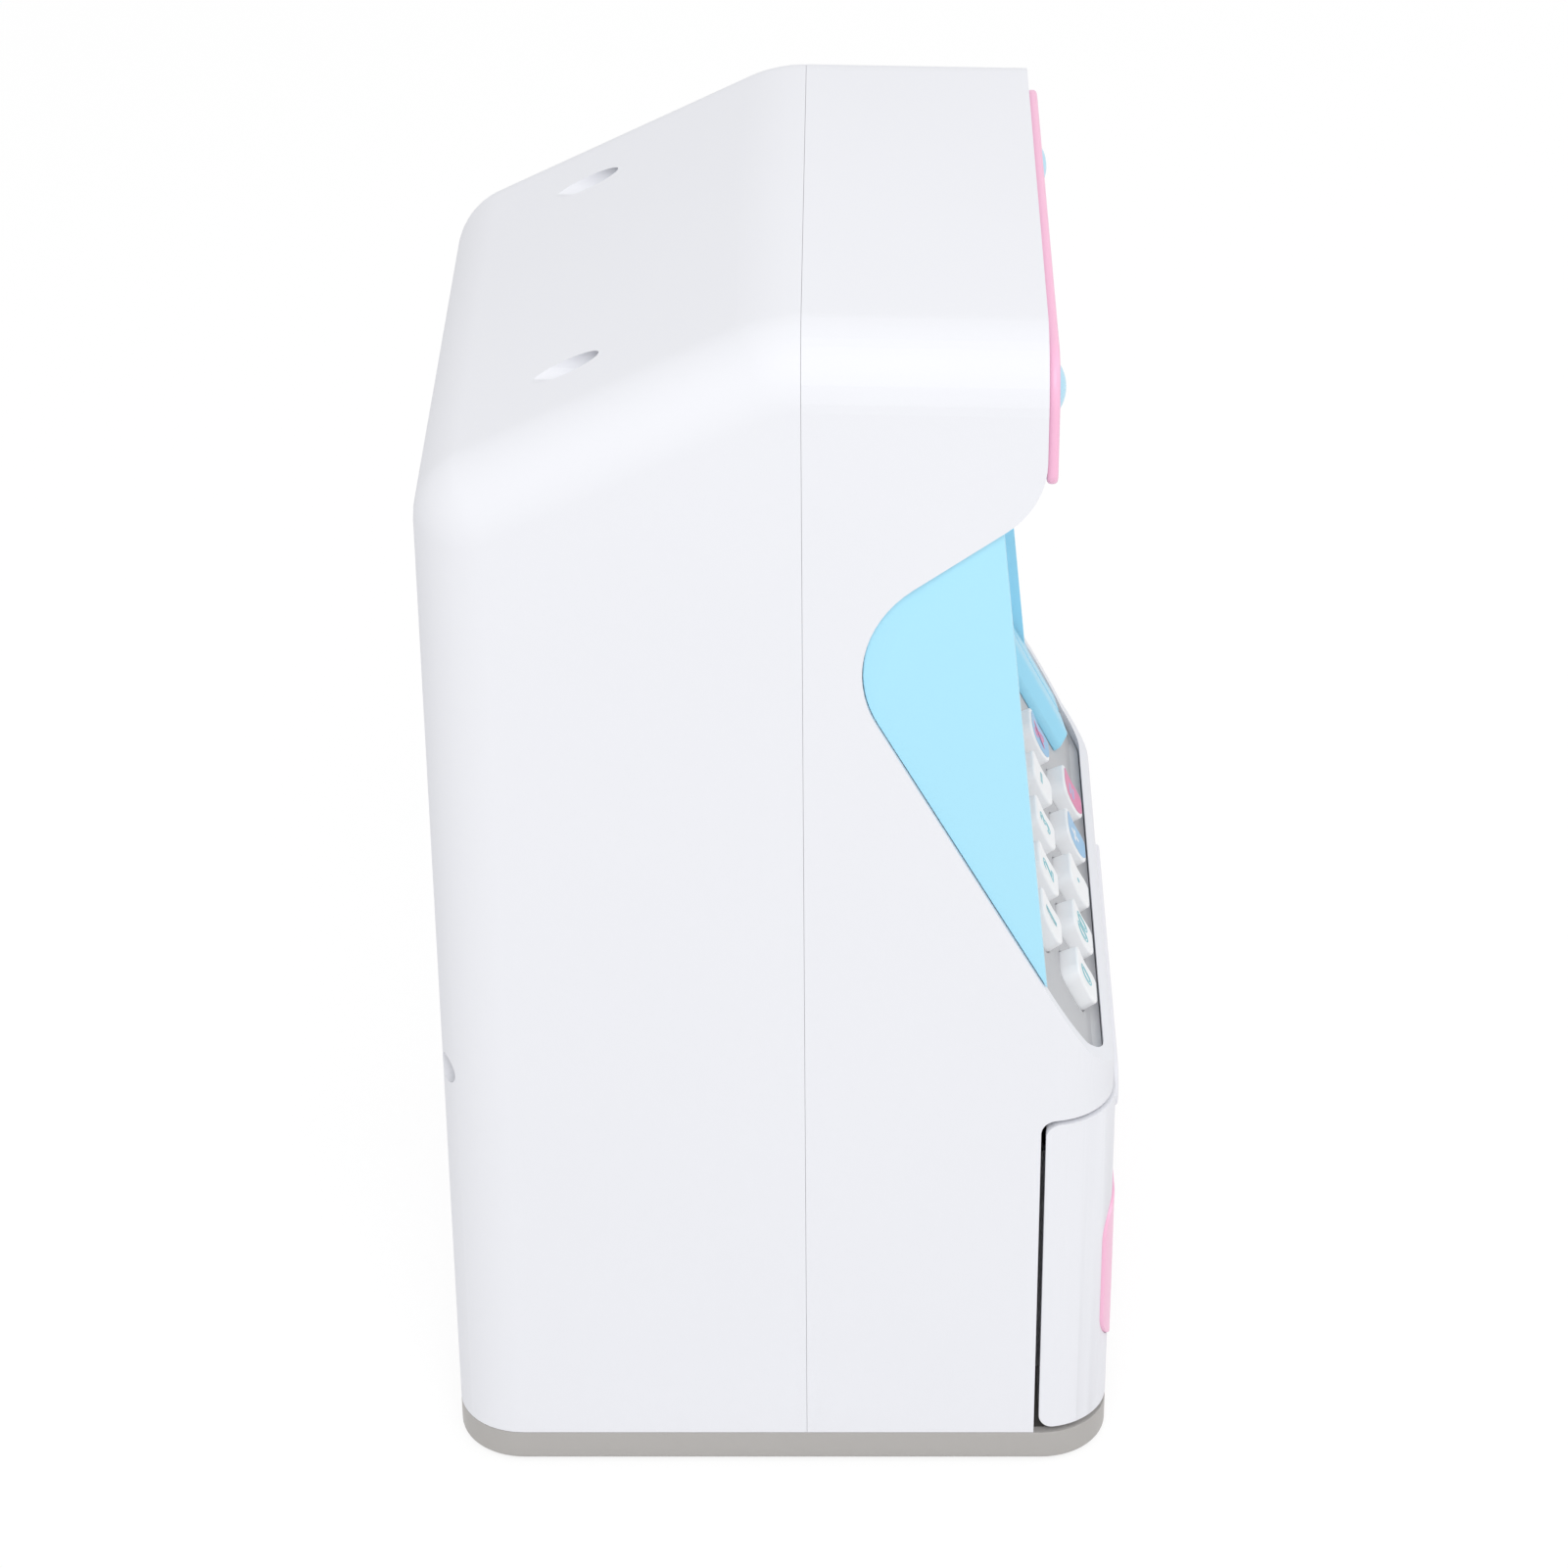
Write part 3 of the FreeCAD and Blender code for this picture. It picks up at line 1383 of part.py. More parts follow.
def make_battery_box():
    side = "door_half_width + box_rim"
    low = "door_low_z - box_rim"
    high = "door_top_z + box_rim"
    outer = box(
        "battery_outer",
        ("-(%s + box_wall)" % side, "box_back_y", low + " - box_wall"),
        (side + " + box_wall", "rear_y - wall - fit", high + " + box_wall"))
    inner = box(
        "battery_inner",
        ("-(%s)" % side, "box_back_y + box_wall", low),
        (side, "rear_y", high))
    tub = cut("battery_tub", outer, [inner])
    boss_length = "rear_y - door_thick - 2 * fit - box_back_y"
    boss = rod("door_boss", (0, "box_back_y", DOOR_SCREW_Z), "+y", "door_boss", boss_length)
    whole = fuse("battery_whole", [tub, boss])
    bore = rod("door_bore", (0, "rear_y", DOOR_SCREW_Z), "-y", "door_bore", "door_bore_depth")
    return hand_in("battery_box", cut("battery_box", whole, [bore]))


CELL_Y = "box_back_y + box_wall + cell_radius + cell_back_gap"
CELL_LEVELS = ["door_low_z + cell_gap + cell_pitch * %d + cell_radius" % index for index in range(3)]


def make_battery_cells():
    cells = []
    for index, level in enumerate(CELL_LEVELS):
        heading = "+x" if index % 2 == 0 else "-x"
        sign = "-" if heading == "+x" else ""
        can = rod("cell_can_%d" % index, (sign + "cell_length / 2", CELL_Y, level), heading,
                  "cell_radius", "cell_length")
        cap = rod("cell_cap_%d" % index, (0, CELL_Y, level), heading,
                  "nub_radius", "cell_length / 2 + nub_length")
        cells.append(fuse("cell_%d" % index, [can, cap]))
    return hand_in("battery_cells", group("battery_cells", cells))


def make_battery_contacts():
    """A bent strip at each end of each cell: a high bow for its flat end, a low one for its nub."""
    contacts = []
    for index, level in enumerate(CELL_LEVELS):
        for side, flat_end in (("left", index % 2 == 0), ("right", index % 2 == 1)):
            strip = new_body("%s_contact_%d" % (side, index))
            sketch = new_sketch(strip, "XY_Plane", level + " - contact_width / 2")
            wall_x = "(door_half_width + box_rim - contact_wall_gap)"
            reach = "contact_gap" if flat_end else "contact_gap + nub_length"
            crest_x = "(cell_length / 2 + %s)" % reach
            outline = [
                (wall_x, CELL_Y + " - contact_reach"),
                (crest_x, CELL_Y + " - contact_crest"),
                (crest_x, CELL_Y + " + contact_crest"),
                (wall_x, CELL_Y + " + contact_reach"),
                (wall_x, CELL_Y + " + contact_reach - contact_foot"),
                (crest_x + " + contact_thick", CELL_Y),
                (wall_x, CELL_Y + " - contact_reach + contact_foot"),
            ]
            if side == "left":
                outline = [("-(%s)" % u, v) for u, v in outline]
            add_outline(sketch, outline)
            pad(strip, sketch, "contact_width")
            contacts.append(strip)
    return hand_in("battery_contacts", group("battery_contacts", contacts))


def make_battery_door():
    body = new_body("door_plate")
    sketch = new_sketch(body, "XZ_Plane", "-rear_y")
    add_rectangle(sketch, ("-door_half_width", "door_low_z"), ("door_half_width", "door_top_z"))
    pad(body, sketch, "door_thick")
    sketch = new_sketch(body, "XZ_Plane", "-rear_y")
    grips = 4
    for index in range(grips):
        low = "door_low_z + door_grip_low + %d * door_grip_pitch" % index
        add_rectangle(sketch, ("-door_grip_half", low), ("door_grip_half", low + " + door_grip_width"))
    pocket(body, sketch, "door_grip_depth", reverse=True)
    hole = rod("door_hole", (0, "rear_y + 1", DOOR_SCREW_Z), "-y", "door_hole", "door_thick + 2")
    sink = rod("door_sink", (0, "rear_y + 1", DOOR_SCREW_Z), "-y", "door_sink", "door_sink_depth + 1")
    return hand_in("battery_door", cut("battery_door", body, [hole, sink]))


def make_speaker():
    face = "rear_y - wall - 2 * fit"
    at = (0, face, "speaker_z")
    frame_ring = rod("speaker_frame", at, "-y", "speaker_radius", "speaker_rim")
    basket = rod("speaker_basket", at, "-y", "basket_radius", "basket_end")
    magnet = rod("speaker_magnet", at, "-y", "magnet_radius", "magnet_end")
    return hand_in("speaker", fuse("speaker", [frame_ring, basket, magnet]))


def make_switch():
    wall_face = "rear_y - wall"
    case = box(
        "switch_case",
        ("-switch_half_width", wall_face + " - switch_back", "switch_z - switch_half_height"),
        ("switch_half_width", wall_face + " - switch_front", "switch_z + switch_half_height"))
    ear = box(
        "right_switch_ear",
        ("switch_half_width - 0.5", wall_face + " - ear_depth", "switch_z - ear_half_height"),
        ("ear_end", wall_face + " - fit", "switch_z + ear_half_height"))
    ear_room = box(
        "ear_room",
        ("-switch_room", wall_face + " - switch_front", "switch_z - switch_half_height - 1"),
        ("switch_room", wall_face + " + 1", "switch_z + switch_half_height + 1"))
    whole = fuse("switch_whole", [case, ear, mirrored("left_switch_ear", ear)])
    hand_in("switch_body", cut("switch_body", whole, [ear_room]))

    middle_x = "-switch_travel / 2"
    plate = box(
        "slider_plate",
        (middle_x + " - slider_half_width", wall_face + " - slider_back", "switch_z - slider_half_height"),
        (middle_x + " + slider_half_width", wall_face + " - slider_front", "switch_z + slider_half_height"))
    knob = box(
        "slider_knob",
        (middle_x + " - knob_half_width", wall_face + " - 2 * slider_front", "switch_z - knob_half_height"),
        (middle_x + " + knob_half_width", "rear_y - knob_setback", "switch_z + knob_half_height"))
    hand_in("switch_slider", fuse("switch_slider", [plate, knob]))


# Screws


OPPOSITE = {"-y": "+y", "+z": "-z"}

# Head radius and height, shank radius and length.
SCREWS = {
    "shell": (2.7, 2.0, 1.4, 18.0),
    "drawer": (2.4, 1.4, 1.1, 6.5),
    "base": (2.6, 1.4, 1.2, 13.5),
    "key_board": (2.3, 1.4, 1.05, 8.0),
    "display": (2.0, 1.3, 0.95, 4.5),
    "door": (2.4, 0.9, 1.1, 8.0),
}


def make_screw(name, seat, heading, kind):
    """A pan-head screw: the head stands on the seat, the shank goes along the heading."""
    head_radius, head_height, shank_radius, shank_length = SCREWS[kind]
    head = rod(name + "_head", seat, OPPOSITE[heading], head_radius, head_height)
    shank = rod(name + "_shank", seat, heading, shank_radius, shank_length)
    return fuse(name, [head, shank])


def make_slope_screw(name, x, y):
    """A screw that holds the key board to a post of the panel."""
    head_radius, head_height, shank_radius, shank_length = SCREWS["key_board"]
    seat = value("%s - board_thick - fit" % BOARD_TOP)
    pieces = []
    for part, start, radius, length in (
            ("head", seat - head_height, head_radius, head_height),
            ("shank", seat - head_height / 2, shank_radius, shank_length)):
        thing = doc.addObject("Part::Cylinder", "%s_%s" % (name, part))
        thing.Radius = radius
        thing.Height = length
        thing.Placement = FreeCAD.Placement(SLOPE.multVec(Vector(x, y, start)), SLOPE_TURN)
        pieces.append(thing)
    return fuse(name, pieces)


def make_screws():
    shell = []
    for level in ("upper", "lower"):
        for side, at in both((level + "_screw_x", "seat_y + fit", level + "_screw_z")):
            shell.append(make_screw("%s_%s_shell_screw" % (side, level), at, "-y", "shell"))
    hand_in("shell_screws", group("shell_screws", shell))

    drawer = []
    for name, at in drawer_screw_places("tray_front_y + tray_wall + fit"):
        drawer.append(make_screw(name + "_screw", at, "-y", "drawer"))
    hand_in("drawer_screws", group("drawer_screws", drawer))

    base = []
    for end in ("front", "rear"):
        for side, at in both(("base_screw_x", "base_screw_%s_y" % end, "base_z + base_sink_depth - fit")):
            base.append(make_screw("%s_%s_base_screw" % (side, end), at, "+z", "base"))
    hand_in("base_screws", group("base_screws", base))

    board = []
    for column, x in enumerate(POST_X):
        for row, y in enumerate(POST_Y):
            board.append(make_slope_screw("key_board_screw_%d_%d" % (column, row), x, y))
    seat_y = "rim_y + wall + display_setback + board_thick + fit"
    for side, at in both(("display_post_x", seat_y, "display_post_z")):
        board.append(make_screw(side + "_display_screw", at, "-y", "display"))
    hand_in("board_screws", group("board_screws", board))

    at = (0, "rear_y - door_sink_depth + fit", DOOR_SCREW_Z)
    hand_in("door_screw", make_screw("door_screw", at, "-y", "door"))


make_front_shell()
make_rear_shell()
make_base_tray()
make_feet()
make_drawer_catch()
make_drawer_front()
make_drawer_pull()
make_drawer_tray()
make_recess_liner()
make_keyboard_panel()
for row, legends in enumerate(KEY_ROWS):
    for column, legend in enumerate(legends):
        make_key("key_" + legend, column, row)
make_key_mat()
make_key_board()
make_card_reader()
make_display_bezel()
make_display_window()
make_lcd_module()
make_display_board()
make_dome_button("left", "-dome_x")
make_dome_button("right", "dome_x")
make_battery_box()
make_battery_cells()
make_battery_contacts()
make_battery_door()
make_speaker()
make_switch()
make_screws()
doc.recompute()

os.makedirs("parts", exist_ok=True)
faults = [thing.Name for thing in doc.Objects if "Invalid" in thing.State or "Error" in thing.State]
assert not faults, faults
for name, thing in PARTS.items():
    assert not thing.Shape.isNull() and thing.Shape.isValid(), name
    thing.Shape.exportStep("parts/%s.step" % name)
    bounds = thing.Shape.BoundBox
    print("%-20s %9.1f mm3" % (name, thing.Shape.Volume), bounds)
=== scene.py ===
# %% [markdown]
# # A toy cash register
#
# The housing is two white moulded half shells on a warm grey tray. A steep keyboard sits in a notch with
# light blue cheeks, under a display block with a pink strip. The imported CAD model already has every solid
# at its real place, so this script only dresses it: softer edges, key caps with legends, finishes and light.

import json
import math

import bmesh
import bpy
import numpy as np
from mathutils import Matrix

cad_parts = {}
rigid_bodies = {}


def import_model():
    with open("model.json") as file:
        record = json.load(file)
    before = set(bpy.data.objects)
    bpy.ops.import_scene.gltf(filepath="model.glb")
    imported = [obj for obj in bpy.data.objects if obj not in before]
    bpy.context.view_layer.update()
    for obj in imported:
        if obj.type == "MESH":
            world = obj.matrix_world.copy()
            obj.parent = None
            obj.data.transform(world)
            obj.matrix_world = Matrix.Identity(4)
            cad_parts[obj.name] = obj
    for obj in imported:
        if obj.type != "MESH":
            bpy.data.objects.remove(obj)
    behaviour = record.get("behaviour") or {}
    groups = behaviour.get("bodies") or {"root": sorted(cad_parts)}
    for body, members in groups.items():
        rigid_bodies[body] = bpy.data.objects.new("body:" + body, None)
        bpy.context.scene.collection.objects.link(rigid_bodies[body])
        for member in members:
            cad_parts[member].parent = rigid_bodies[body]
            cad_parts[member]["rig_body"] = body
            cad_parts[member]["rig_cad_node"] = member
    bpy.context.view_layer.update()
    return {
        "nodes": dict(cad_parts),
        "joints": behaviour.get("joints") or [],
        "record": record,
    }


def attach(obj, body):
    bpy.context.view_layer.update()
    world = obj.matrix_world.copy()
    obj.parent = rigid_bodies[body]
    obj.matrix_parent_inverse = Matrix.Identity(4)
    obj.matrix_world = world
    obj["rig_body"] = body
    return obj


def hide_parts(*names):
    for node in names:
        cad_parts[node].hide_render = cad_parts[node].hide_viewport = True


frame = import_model()
nodes = frame["nodes"]
MM = 0.001

# %% [markdown]
# ## Meshes from whole arrays
#
# Every new piece is a surface worked out with numpy. A stack of rings, each a closed loop of points, is
# enough for caps, heads and plates: neighbouring rings are joined by quads, and the first and last ring
# are closed by a fan round a middle point. Index arithmetic gives all the faces at once.

# %% Mesh helpers


def add_mesh(name, points, faces):
    """A mesh object at the origin from an array of points and a list of face index arrays."""
    mesh = bpy.data.meshes.new(name)
    lists = [face.tolist() for block in faces for face in block]
    mesh.from_pydata(points.tolist(), [], lists)
    mesh.update()
    piece = bpy.data.objects.new(name, mesh)
    bpy.context.scene.collection.objects.link(piece)
    return piece


def ring_faces(rings, around):
    """Quads between the rings of a stack, by index arithmetic: ring r, step s to ring r + 1, step s + 1."""
    r, s = np.meshgrid(np.arange(rings - 1), np.arange(around), indexing="ij")
    here = r * around + s
    beside = r * around + (s + 1) % around
    return np.stack([here, beside, beside + around, here + around], axis=-1).reshape(-1, 4)


def closed_stack(rings):
    """Points and faces of a closed skin: the stack's quads, and a fan at each end round that ring's mean."""
    count, around, _ = rings.shape
    points = np.concatenate([rings.reshape(-1, 3), rings[[0, -1]].mean(axis=1)])
    step = np.arange(around)
    after = (step + 1) % around
    low = np.stack([after, step, np.full(around, count * around)], axis=-1)
    top = (count - 1) * around
    high = np.stack([top + step, top + after, np.full(around, count * around + 1)], axis=-1)
    return points, [ring_faces(count, around), low, high]


def circle_loop(radius, around=64):
    """A flat circle: cosine and sine of an even turn, times the radius."""
    turn = np.arange(around) / around * 2 * np.pi
    return np.stack([np.cos(turn), np.sin(turn)], axis=-1) * radius


def cross_loop(narrow, wide, around):
    """A flat cross by its distance from the middle: the arm's end or its flank, whichever comes first."""
    turn = np.arange(around) / around * 2 * np.pi
    along = np.maximum(np.abs(np.cos(turn)), np.abs(np.sin(turn)))
    beside = np.maximum(np.minimum(np.abs(np.cos(turn)), np.abs(np.sin(turn))), 1e-6)
    reach = np.minimum(wide / along, narrow / beside)
    return np.stack([np.cos(turn), np.sin(turn)], axis=-1) * reach[:, None]


def stack_loops(loops, heights):
    """Rings of a stack: each flat loop lifted to its own height."""
    flat = np.stack(loops)
    z = np.broadcast_to(np.asarray(heights)[:, None, None], flat.shape[:2] + (1,))
    return np.concatenate([flat, z], axis=-1)


def several(stacks):
    """One set of points and faces from several closed stacks, each numbered on from the one before."""
    built = [closed_stack(rings) for rings in stacks]
    starts = np.cumsum([0] + [len(points) for points, _ in built[:-1]])
    faces = [block + start for start, (_, blocks) in zip(starts, built) for block in blocks]
    return np.concatenate([points for points, _ in built]), faces


def mesh_points(mesh):
    """All the points of a mesh as one array."""
    points = np.empty(len(mesh.vertices) * 3, dtype=np.float32)
    mesh.vertices.foreach_get("co", points)
    return points.reshape(-1, 3)


def move_points(mesh, points):
    """New places for all the points of a mesh."""
    mesh.vertices.foreach_set("co", points.astype(np.float32).ravel())
    mesh.update()


CREASE = 40.0


def smooth_by_angle(piece, degrees=CREASE):
    """Shade smooth, but keep edges sharp where the faces meet at more than the angle."""
    mesh = piece.data
    mesh.polygons.foreach_set("use_smooth", np.ones(len(mesh.polygons), dtype=bool))
    mesh.set_sharp_from_angle(angle=math.radians(degrees))


def dress(piece, body, slot, material, *replaced):
    """Tie a finished piece to its body, its finish and the nodes it stands for. The slot is not used."""
    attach(piece, body)
    piece.data.materials.clear()
    piece.data.materials.append(material)
    if replaced:
        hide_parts(*replaced)
    return piece


# %% [markdown]
# ## Finishes
#
# All the plastics are injection moulded, so they share three traits: the fine grain that the mould leaves,
# broad faint shifts where the melt flowed, and a little dulling where hands and tables touch. Each trait is
# a node group that puts out a value, and every plastic uses the groups with its own numbers.

# %% Node group helpers


def new_group(name, inputs, outputs):
    """A shader node group with float inputs (name, default) and float or colour outputs (name, kind)."""
    group = bpy.data.node_groups.new(name, "ShaderNodeTree")
    for label, default in inputs:
        socket = group.interface.new_socket(label, in_out="INPUT", socket_type="NodeSocketFloat")
        socket.default_value = default
    for label, kind in outputs:
        group.interface.new_socket(label, in_out="OUTPUT", socket_type=kind)
    return group, group.nodes.new("NodeGroupInput"), group.nodes.new("NodeGroupOutput")


def math_node(tree, operation, first, second):
    """One sum, product or the like; each operand is a socket or a number."""
    node = tree.nodes.new("ShaderNodeMath")
    node.operation = operation
    for socket, operand in zip(node.inputs, (first, second)):
        if isinstance(operand, (int, float)):
            socket.default_value = operand
        else:
            tree.links.new(operand, socket)
    return node.outputs[0]


def noise_node(tree, scale, detail, roughness=0.55):
    """Noise on the object's own coordinates, so that it stays put on the piece."""
    place = tree.nodes.new("ShaderNodeTexCoord")
    noise = tree.nodes.new("ShaderNodeTexNoise")
    tree.links.new(place.outputs["Object"], noise.inputs["Vector"])
    noise.inputs["Detail"].default_value = detail
    noise.inputs["Roughness"].default_value = roughness
    if isinstance(scale, (int, float)):
        noise.inputs["Scale"].default_value = scale
    else:
        tree.links.new(scale, noise.inputs["Scale"])
    return noise.outputs["Fac"]


# %% Mould grain, melt flow and handling


def make_grain_group():
    """Height: fine noise of the mould's surface. Grains per metre sets its scale."""
    group, given, out = new_group(
        "mould_grain", [("Grains per metre", 4500.0)], [("Height", "NodeSocketFloat")])
    grain = noise_node(group, given.outputs["Grains per metre"], 3.0)
    group.links.new(grain, out.inputs["Height"])
    return group


def make_flow_group():
    """Shift: 1 plus or minus Strength, in broad clouds, to multiply a colour's brightness with."""
    group, given, out = new_group(
        "melt_flow", [("Clouds per metre", 14.0), ("Strength", 0.02)], [("Shift", "NodeSocketFloat")])
    cloud = noise_node(group, given.outputs["Clouds per metre"], 2.0)
    centred = math_node(group, "SUBTRACT", cloud, 0.5)
    swing = math_node(group, "MULTIPLY", centred, given.outputs["Strength"])
    shift = math_node(group, "MULTIPLY_ADD", swing, 2.0)
    shift.node.inputs[2].default_value = 1.0
    group.links.new(shift, out.inputs["Shift"])
    return group


def make_handling_group():
    """Roughness: Base, raised by up to Dulling in scattered patches where the surface has been touched."""
    group, given, out = new_group(
        "handling", [("Base", 0.35), ("Dulling", 0.12)], [("Roughness", "NodeSocketFloat")])
    patches = noise_node(group, 60.0, 4.0, 0.65)
    squared = math_node(group, "POWER", patches, 2.0)
    rise = math_node(group, "MULTIPLY", squared, given.outputs["Dulling"])
    total = math_node(group, "ADD", given.outputs["Base"], rise)
    group.links.new(total, out.inputs["Roughness"])
    return group


GRAIN = make_grain_group()
FLOW = make_flow_group()
HANDLING = make_handling_group()
print("node groups", [group.name for group in bpy.data.node_groups])

# %% Moulded plastic


def srgb(red, green, blue):
    """A colour as it is seen on screen, 0 to 255, turned into the linear numbers that shaders use."""
    seen = np.array([red, green, blue]) / 255.0
    linear = np.where(seen <= 0.04045, seen / 12.92, ((seen + 0.055) / 1.055) ** 2.4)
    return (*linear.tolist(), 1.0)


def add_group(tree, group, **values):
    """Place a node group in a material and set its inputs, named with underscores for spaces."""
    node = tree.nodes.new("ShaderNodeGroup")
    node.node_tree = group
    for label, number in values.items():
        node.inputs[label.replace("_", " ")].default_value = number
    return node


def moulded(name, colour, roughness=0.35, dulling=0.12, grains=4500.0, depth=0.02, flow=0.012, coat=0.0):
    """Moulded plastic: colour shifted by the flow, roughness by handling, and a bump from the grain."""
    material = bpy.data.materials.new(name)
    material.use_nodes = True
    tree = material.node_tree
    shader = tree.nodes["Principled BSDF"]
    shader.inputs["IOR"].default_value = 1.5
    shader.inputs["Coat Weight"].default_value = coat

    shift = add_group(tree, FLOW, Strength=flow)
    tint = tree.nodes.new("ShaderNodeVectorMath")
    tint.operation = "SCALE"
    tint.inputs[0].default_value = colour[:3]
    tree.links.new(shift.outputs["Shift"], tint.inputs["Scale"])
    tree.links.new(tint.outputs[0], shader.inputs["Base Color"])

    touched = add_group(tree, HANDLING, Base=roughness, Dulling=dulling)
    tree.links.new(touched.outputs["Roughness"], shader.inputs["Roughness"])

    grain = add_group(tree, GRAIN, Grains_per_metre=grains)
    bump = tree.nodes.new("ShaderNodeBump")
    bump.inputs["Strength"].default_value = 0.5
    bump.inputs["Distance"].default_value = depth * MM
    tree.links.new(grain.outputs["Height"], bump.inputs["Height"])
    tree.links.new(bump.outputs["Normal"], shader.inputs["Normal"])
    return material


WHITE = moulded("white_plastic", srgb(240, 241, 246), roughness=0.55)
GREY = moulded("grey_plastic", srgb(181, 178, 175), roughness=0.42)
TRAY = moulded("tray_plastic", srgb(226, 227, 233), roughness=0.45)
PANEL = moulded("panel_plastic", srgb(196, 197, 200), roughness=0.5, grains=3200.0, depth=0.05)
KEY = moulded("key_plastic", srgb(247, 248, 250), roughness=0.33)
BLUE = moulded("blue_plastic", srgb(176, 234, 255), roughness=0.3)
# The card bar's blue is the cheeks' blue plastic made darker: painted shade of the notch it sits in.
BAR_SHADED_BLUE = moulded("bar_blue_painted_shade", srgb(158, 224, 250), roughness=0.35)
BUTTON = moulded("button_plastic", srgb(178, 230, 252), roughness=0.25, coat=0.2)
PINK = moulded("pink_plastic", srgb(252, 192, 221), roughness=0.3)
DARK = moulded("dark_plastic", srgb(52, 52, 56), roughness=0.45)
BOARD = moulded("circuit_board", srgb(52, 110, 70), roughness=0.4, grains=1500.0)
RUBBER = moulded("mat_rubber", srgb(150, 152, 156), roughness=0.7, depth=0.05)
FOOT = moulded("foot_rubber", srgb(70, 70, 73), roughness=0.75, depth=0.06)
CELL = moulded("cell_can", srgb(90, 96, 104), roughness=0.3)
LCD = moulded("lcd_cell", srgb(172, 182, 164), roughness=0.35, depth=0.0)
INK_TEAL = moulded("teal_ink", srgb(140, 208, 218), roughness=0.4)
INK_PINK = moulded("pink_ink", srgb(226, 128, 172), roughness=0.4)
INK_BLUE = moulded("blue_ink", srgb(150, 196, 232), roughness=0.4)
INK_DARK = moulded("segment_ink", srgb(44, 50, 46), roughness=0.4)
INK_GHOST = moulded("ghost_ink", srgb(158, 168, 151), roughness=0.4)

# %% Plated steel and clear window


def plated_steel():
    """Zinc-plated steel: metallic, with roughness in fine patches from the plating."""
    material = bpy.data.materials.new("steel")
    material.use_nodes = True
    tree = material.node_tree
    shader = tree.nodes["Principled BSDF"]
    shader.inputs["Base Color"].default_value = srgb(196, 197, 200)
    shader.inputs["Metallic"].default_value = 1.0
    touched = add_group(tree, HANDLING, Base=0.25, Dulling=0.3)
    tree.links.new(touched.outputs["Roughness"], shader.inputs["Roughness"])
    return material


def clear_window():
    """Clear acrylic: full transmission with a faint cool tint and moulded-smooth faces."""
    material = bpy.data.materials.new("window_plastic")
    material.use_nodes = True
    tree = material.node_tree
    shader = tree.nodes["Principled BSDF"]
    shader.inputs["Base Color"].default_value = srgb(244, 248, 250)
    shader.inputs["IOR"].default_value = 1.49
    shader.inputs["Transmission Weight"].default_value = 1.0
    touched = add_group(tree, HANDLING, Base=0.02, Dulling=0.05)
    tree.links.new(touched.outputs["Roughness"], shader.inputs["Roughness"])
    return material


STEEL = plated_steel()
WINDOW = clear_window()
SLOT_FINISH = {
    "white_plastic": WHITE, "grey_plastic": GREY, "tray_plastic": TRAY, "panel_plastic": PANEL,
    "key_plastic": KEY, "blue_plastic": BLUE, "button_plastic": BUTTON, "pink_plastic": PINK,
    "window_plastic": WINDOW, "lcd_cell": LCD, "circuit_board": BOARD, "mat_rubber": RUBBER,
    "foot_rubber": FOOT, "dark_plastic": DARK, "cell_can": CELL, "steel": STEEL,
}
print("finishes", len(bpy.data.materials))

# %% [markdown]
# ## Finishes on the CAD pieces
#
# The record says which slot each node belongs to. Inner pieces keep their CAD mesh and only get the better
# finish. Pieces that show are copied: the copy's triangles are merged into whole faces, and a narrow bevel
# gives every moulded edge the small radius that catches the light. The blue liner also grows a little, to
# close the gap that would show as a dark line round its cheeks.

# %% Finish every node

node_slot = {entry["node"]: entry["material_slot"] for entry in frame["record"]["subparts"]}
node_body = {node: body for body, names in frame["record"]["behaviour"]["bodies"].items() for node in names}
for node, slot in node_slot.items():
    mesh = nodes[node].data
    mesh.materials.clear()
    mesh.materials.append(SLOT_FINISH[slot])
print("finished nodes", len(node_slot))

# %% Softened copies

CUT_PIECES = ("front_shell", "recess_liner", "drawer_pull")


def softened(node, radius, degrees=30.0, segments=2):
    """A merged copy of a node's mesh with edges over the angle bevelled. Flat faces are made whole first, and
    in the pieces with openings they are cut into even triangles, which the bevel can't turn inside out."""
    piece = nodes[node].copy()
    piece.data = nodes[node].data.copy()
    piece.name = node + "_moulded"
    piece.parent = None
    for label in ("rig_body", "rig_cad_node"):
        del piece[label]
    bpy.context.scene.collection.objects.link(piece)
    work = bmesh.new()
    work.from_mesh(piece.data)
    bmesh.ops.remove_doubles(work, verts=work.verts, dist=2e-6)
    bmesh.ops.dissolve_limit(work, angle_limit=math.radians(0.6), verts=work.verts, edges=work.edges)
    if node in CUT_PIECES:
        bmesh.ops.triangulate(work, faces=[face for face in work.faces if len(face.verts) > 4])
    work.to_mesh(piece.data)
    work.free()
    piece.data.normals_split_custom_set_from_vertices([(0.0, 0.0, 0.0)] * len(piece.data.vertices))
    smooth_by_angle(piece, degrees)
    bevel = piece.modifiers.new("edge_radius", "BEVEL")
    bevel.width = radius * MM
    bevel.segments = segments
    bevel.limit_method = "ANGLE"
    bevel.angle_limit = math.radians(degrees)
    bevel.loop_slide = False
    bevel.use_clamp_overlap = True
    bevel.harden_normals = True
    if node.endswith("_shell"):
        even = piece.modifiers.new("even_normals", "WEIGHTED_NORMAL")
        even.keep_sharp = True
        even.weight = 90
    slot = node_slot[node]
    return dress(piece, node_body[node], slot, SLOT_FINISH[slot], node)


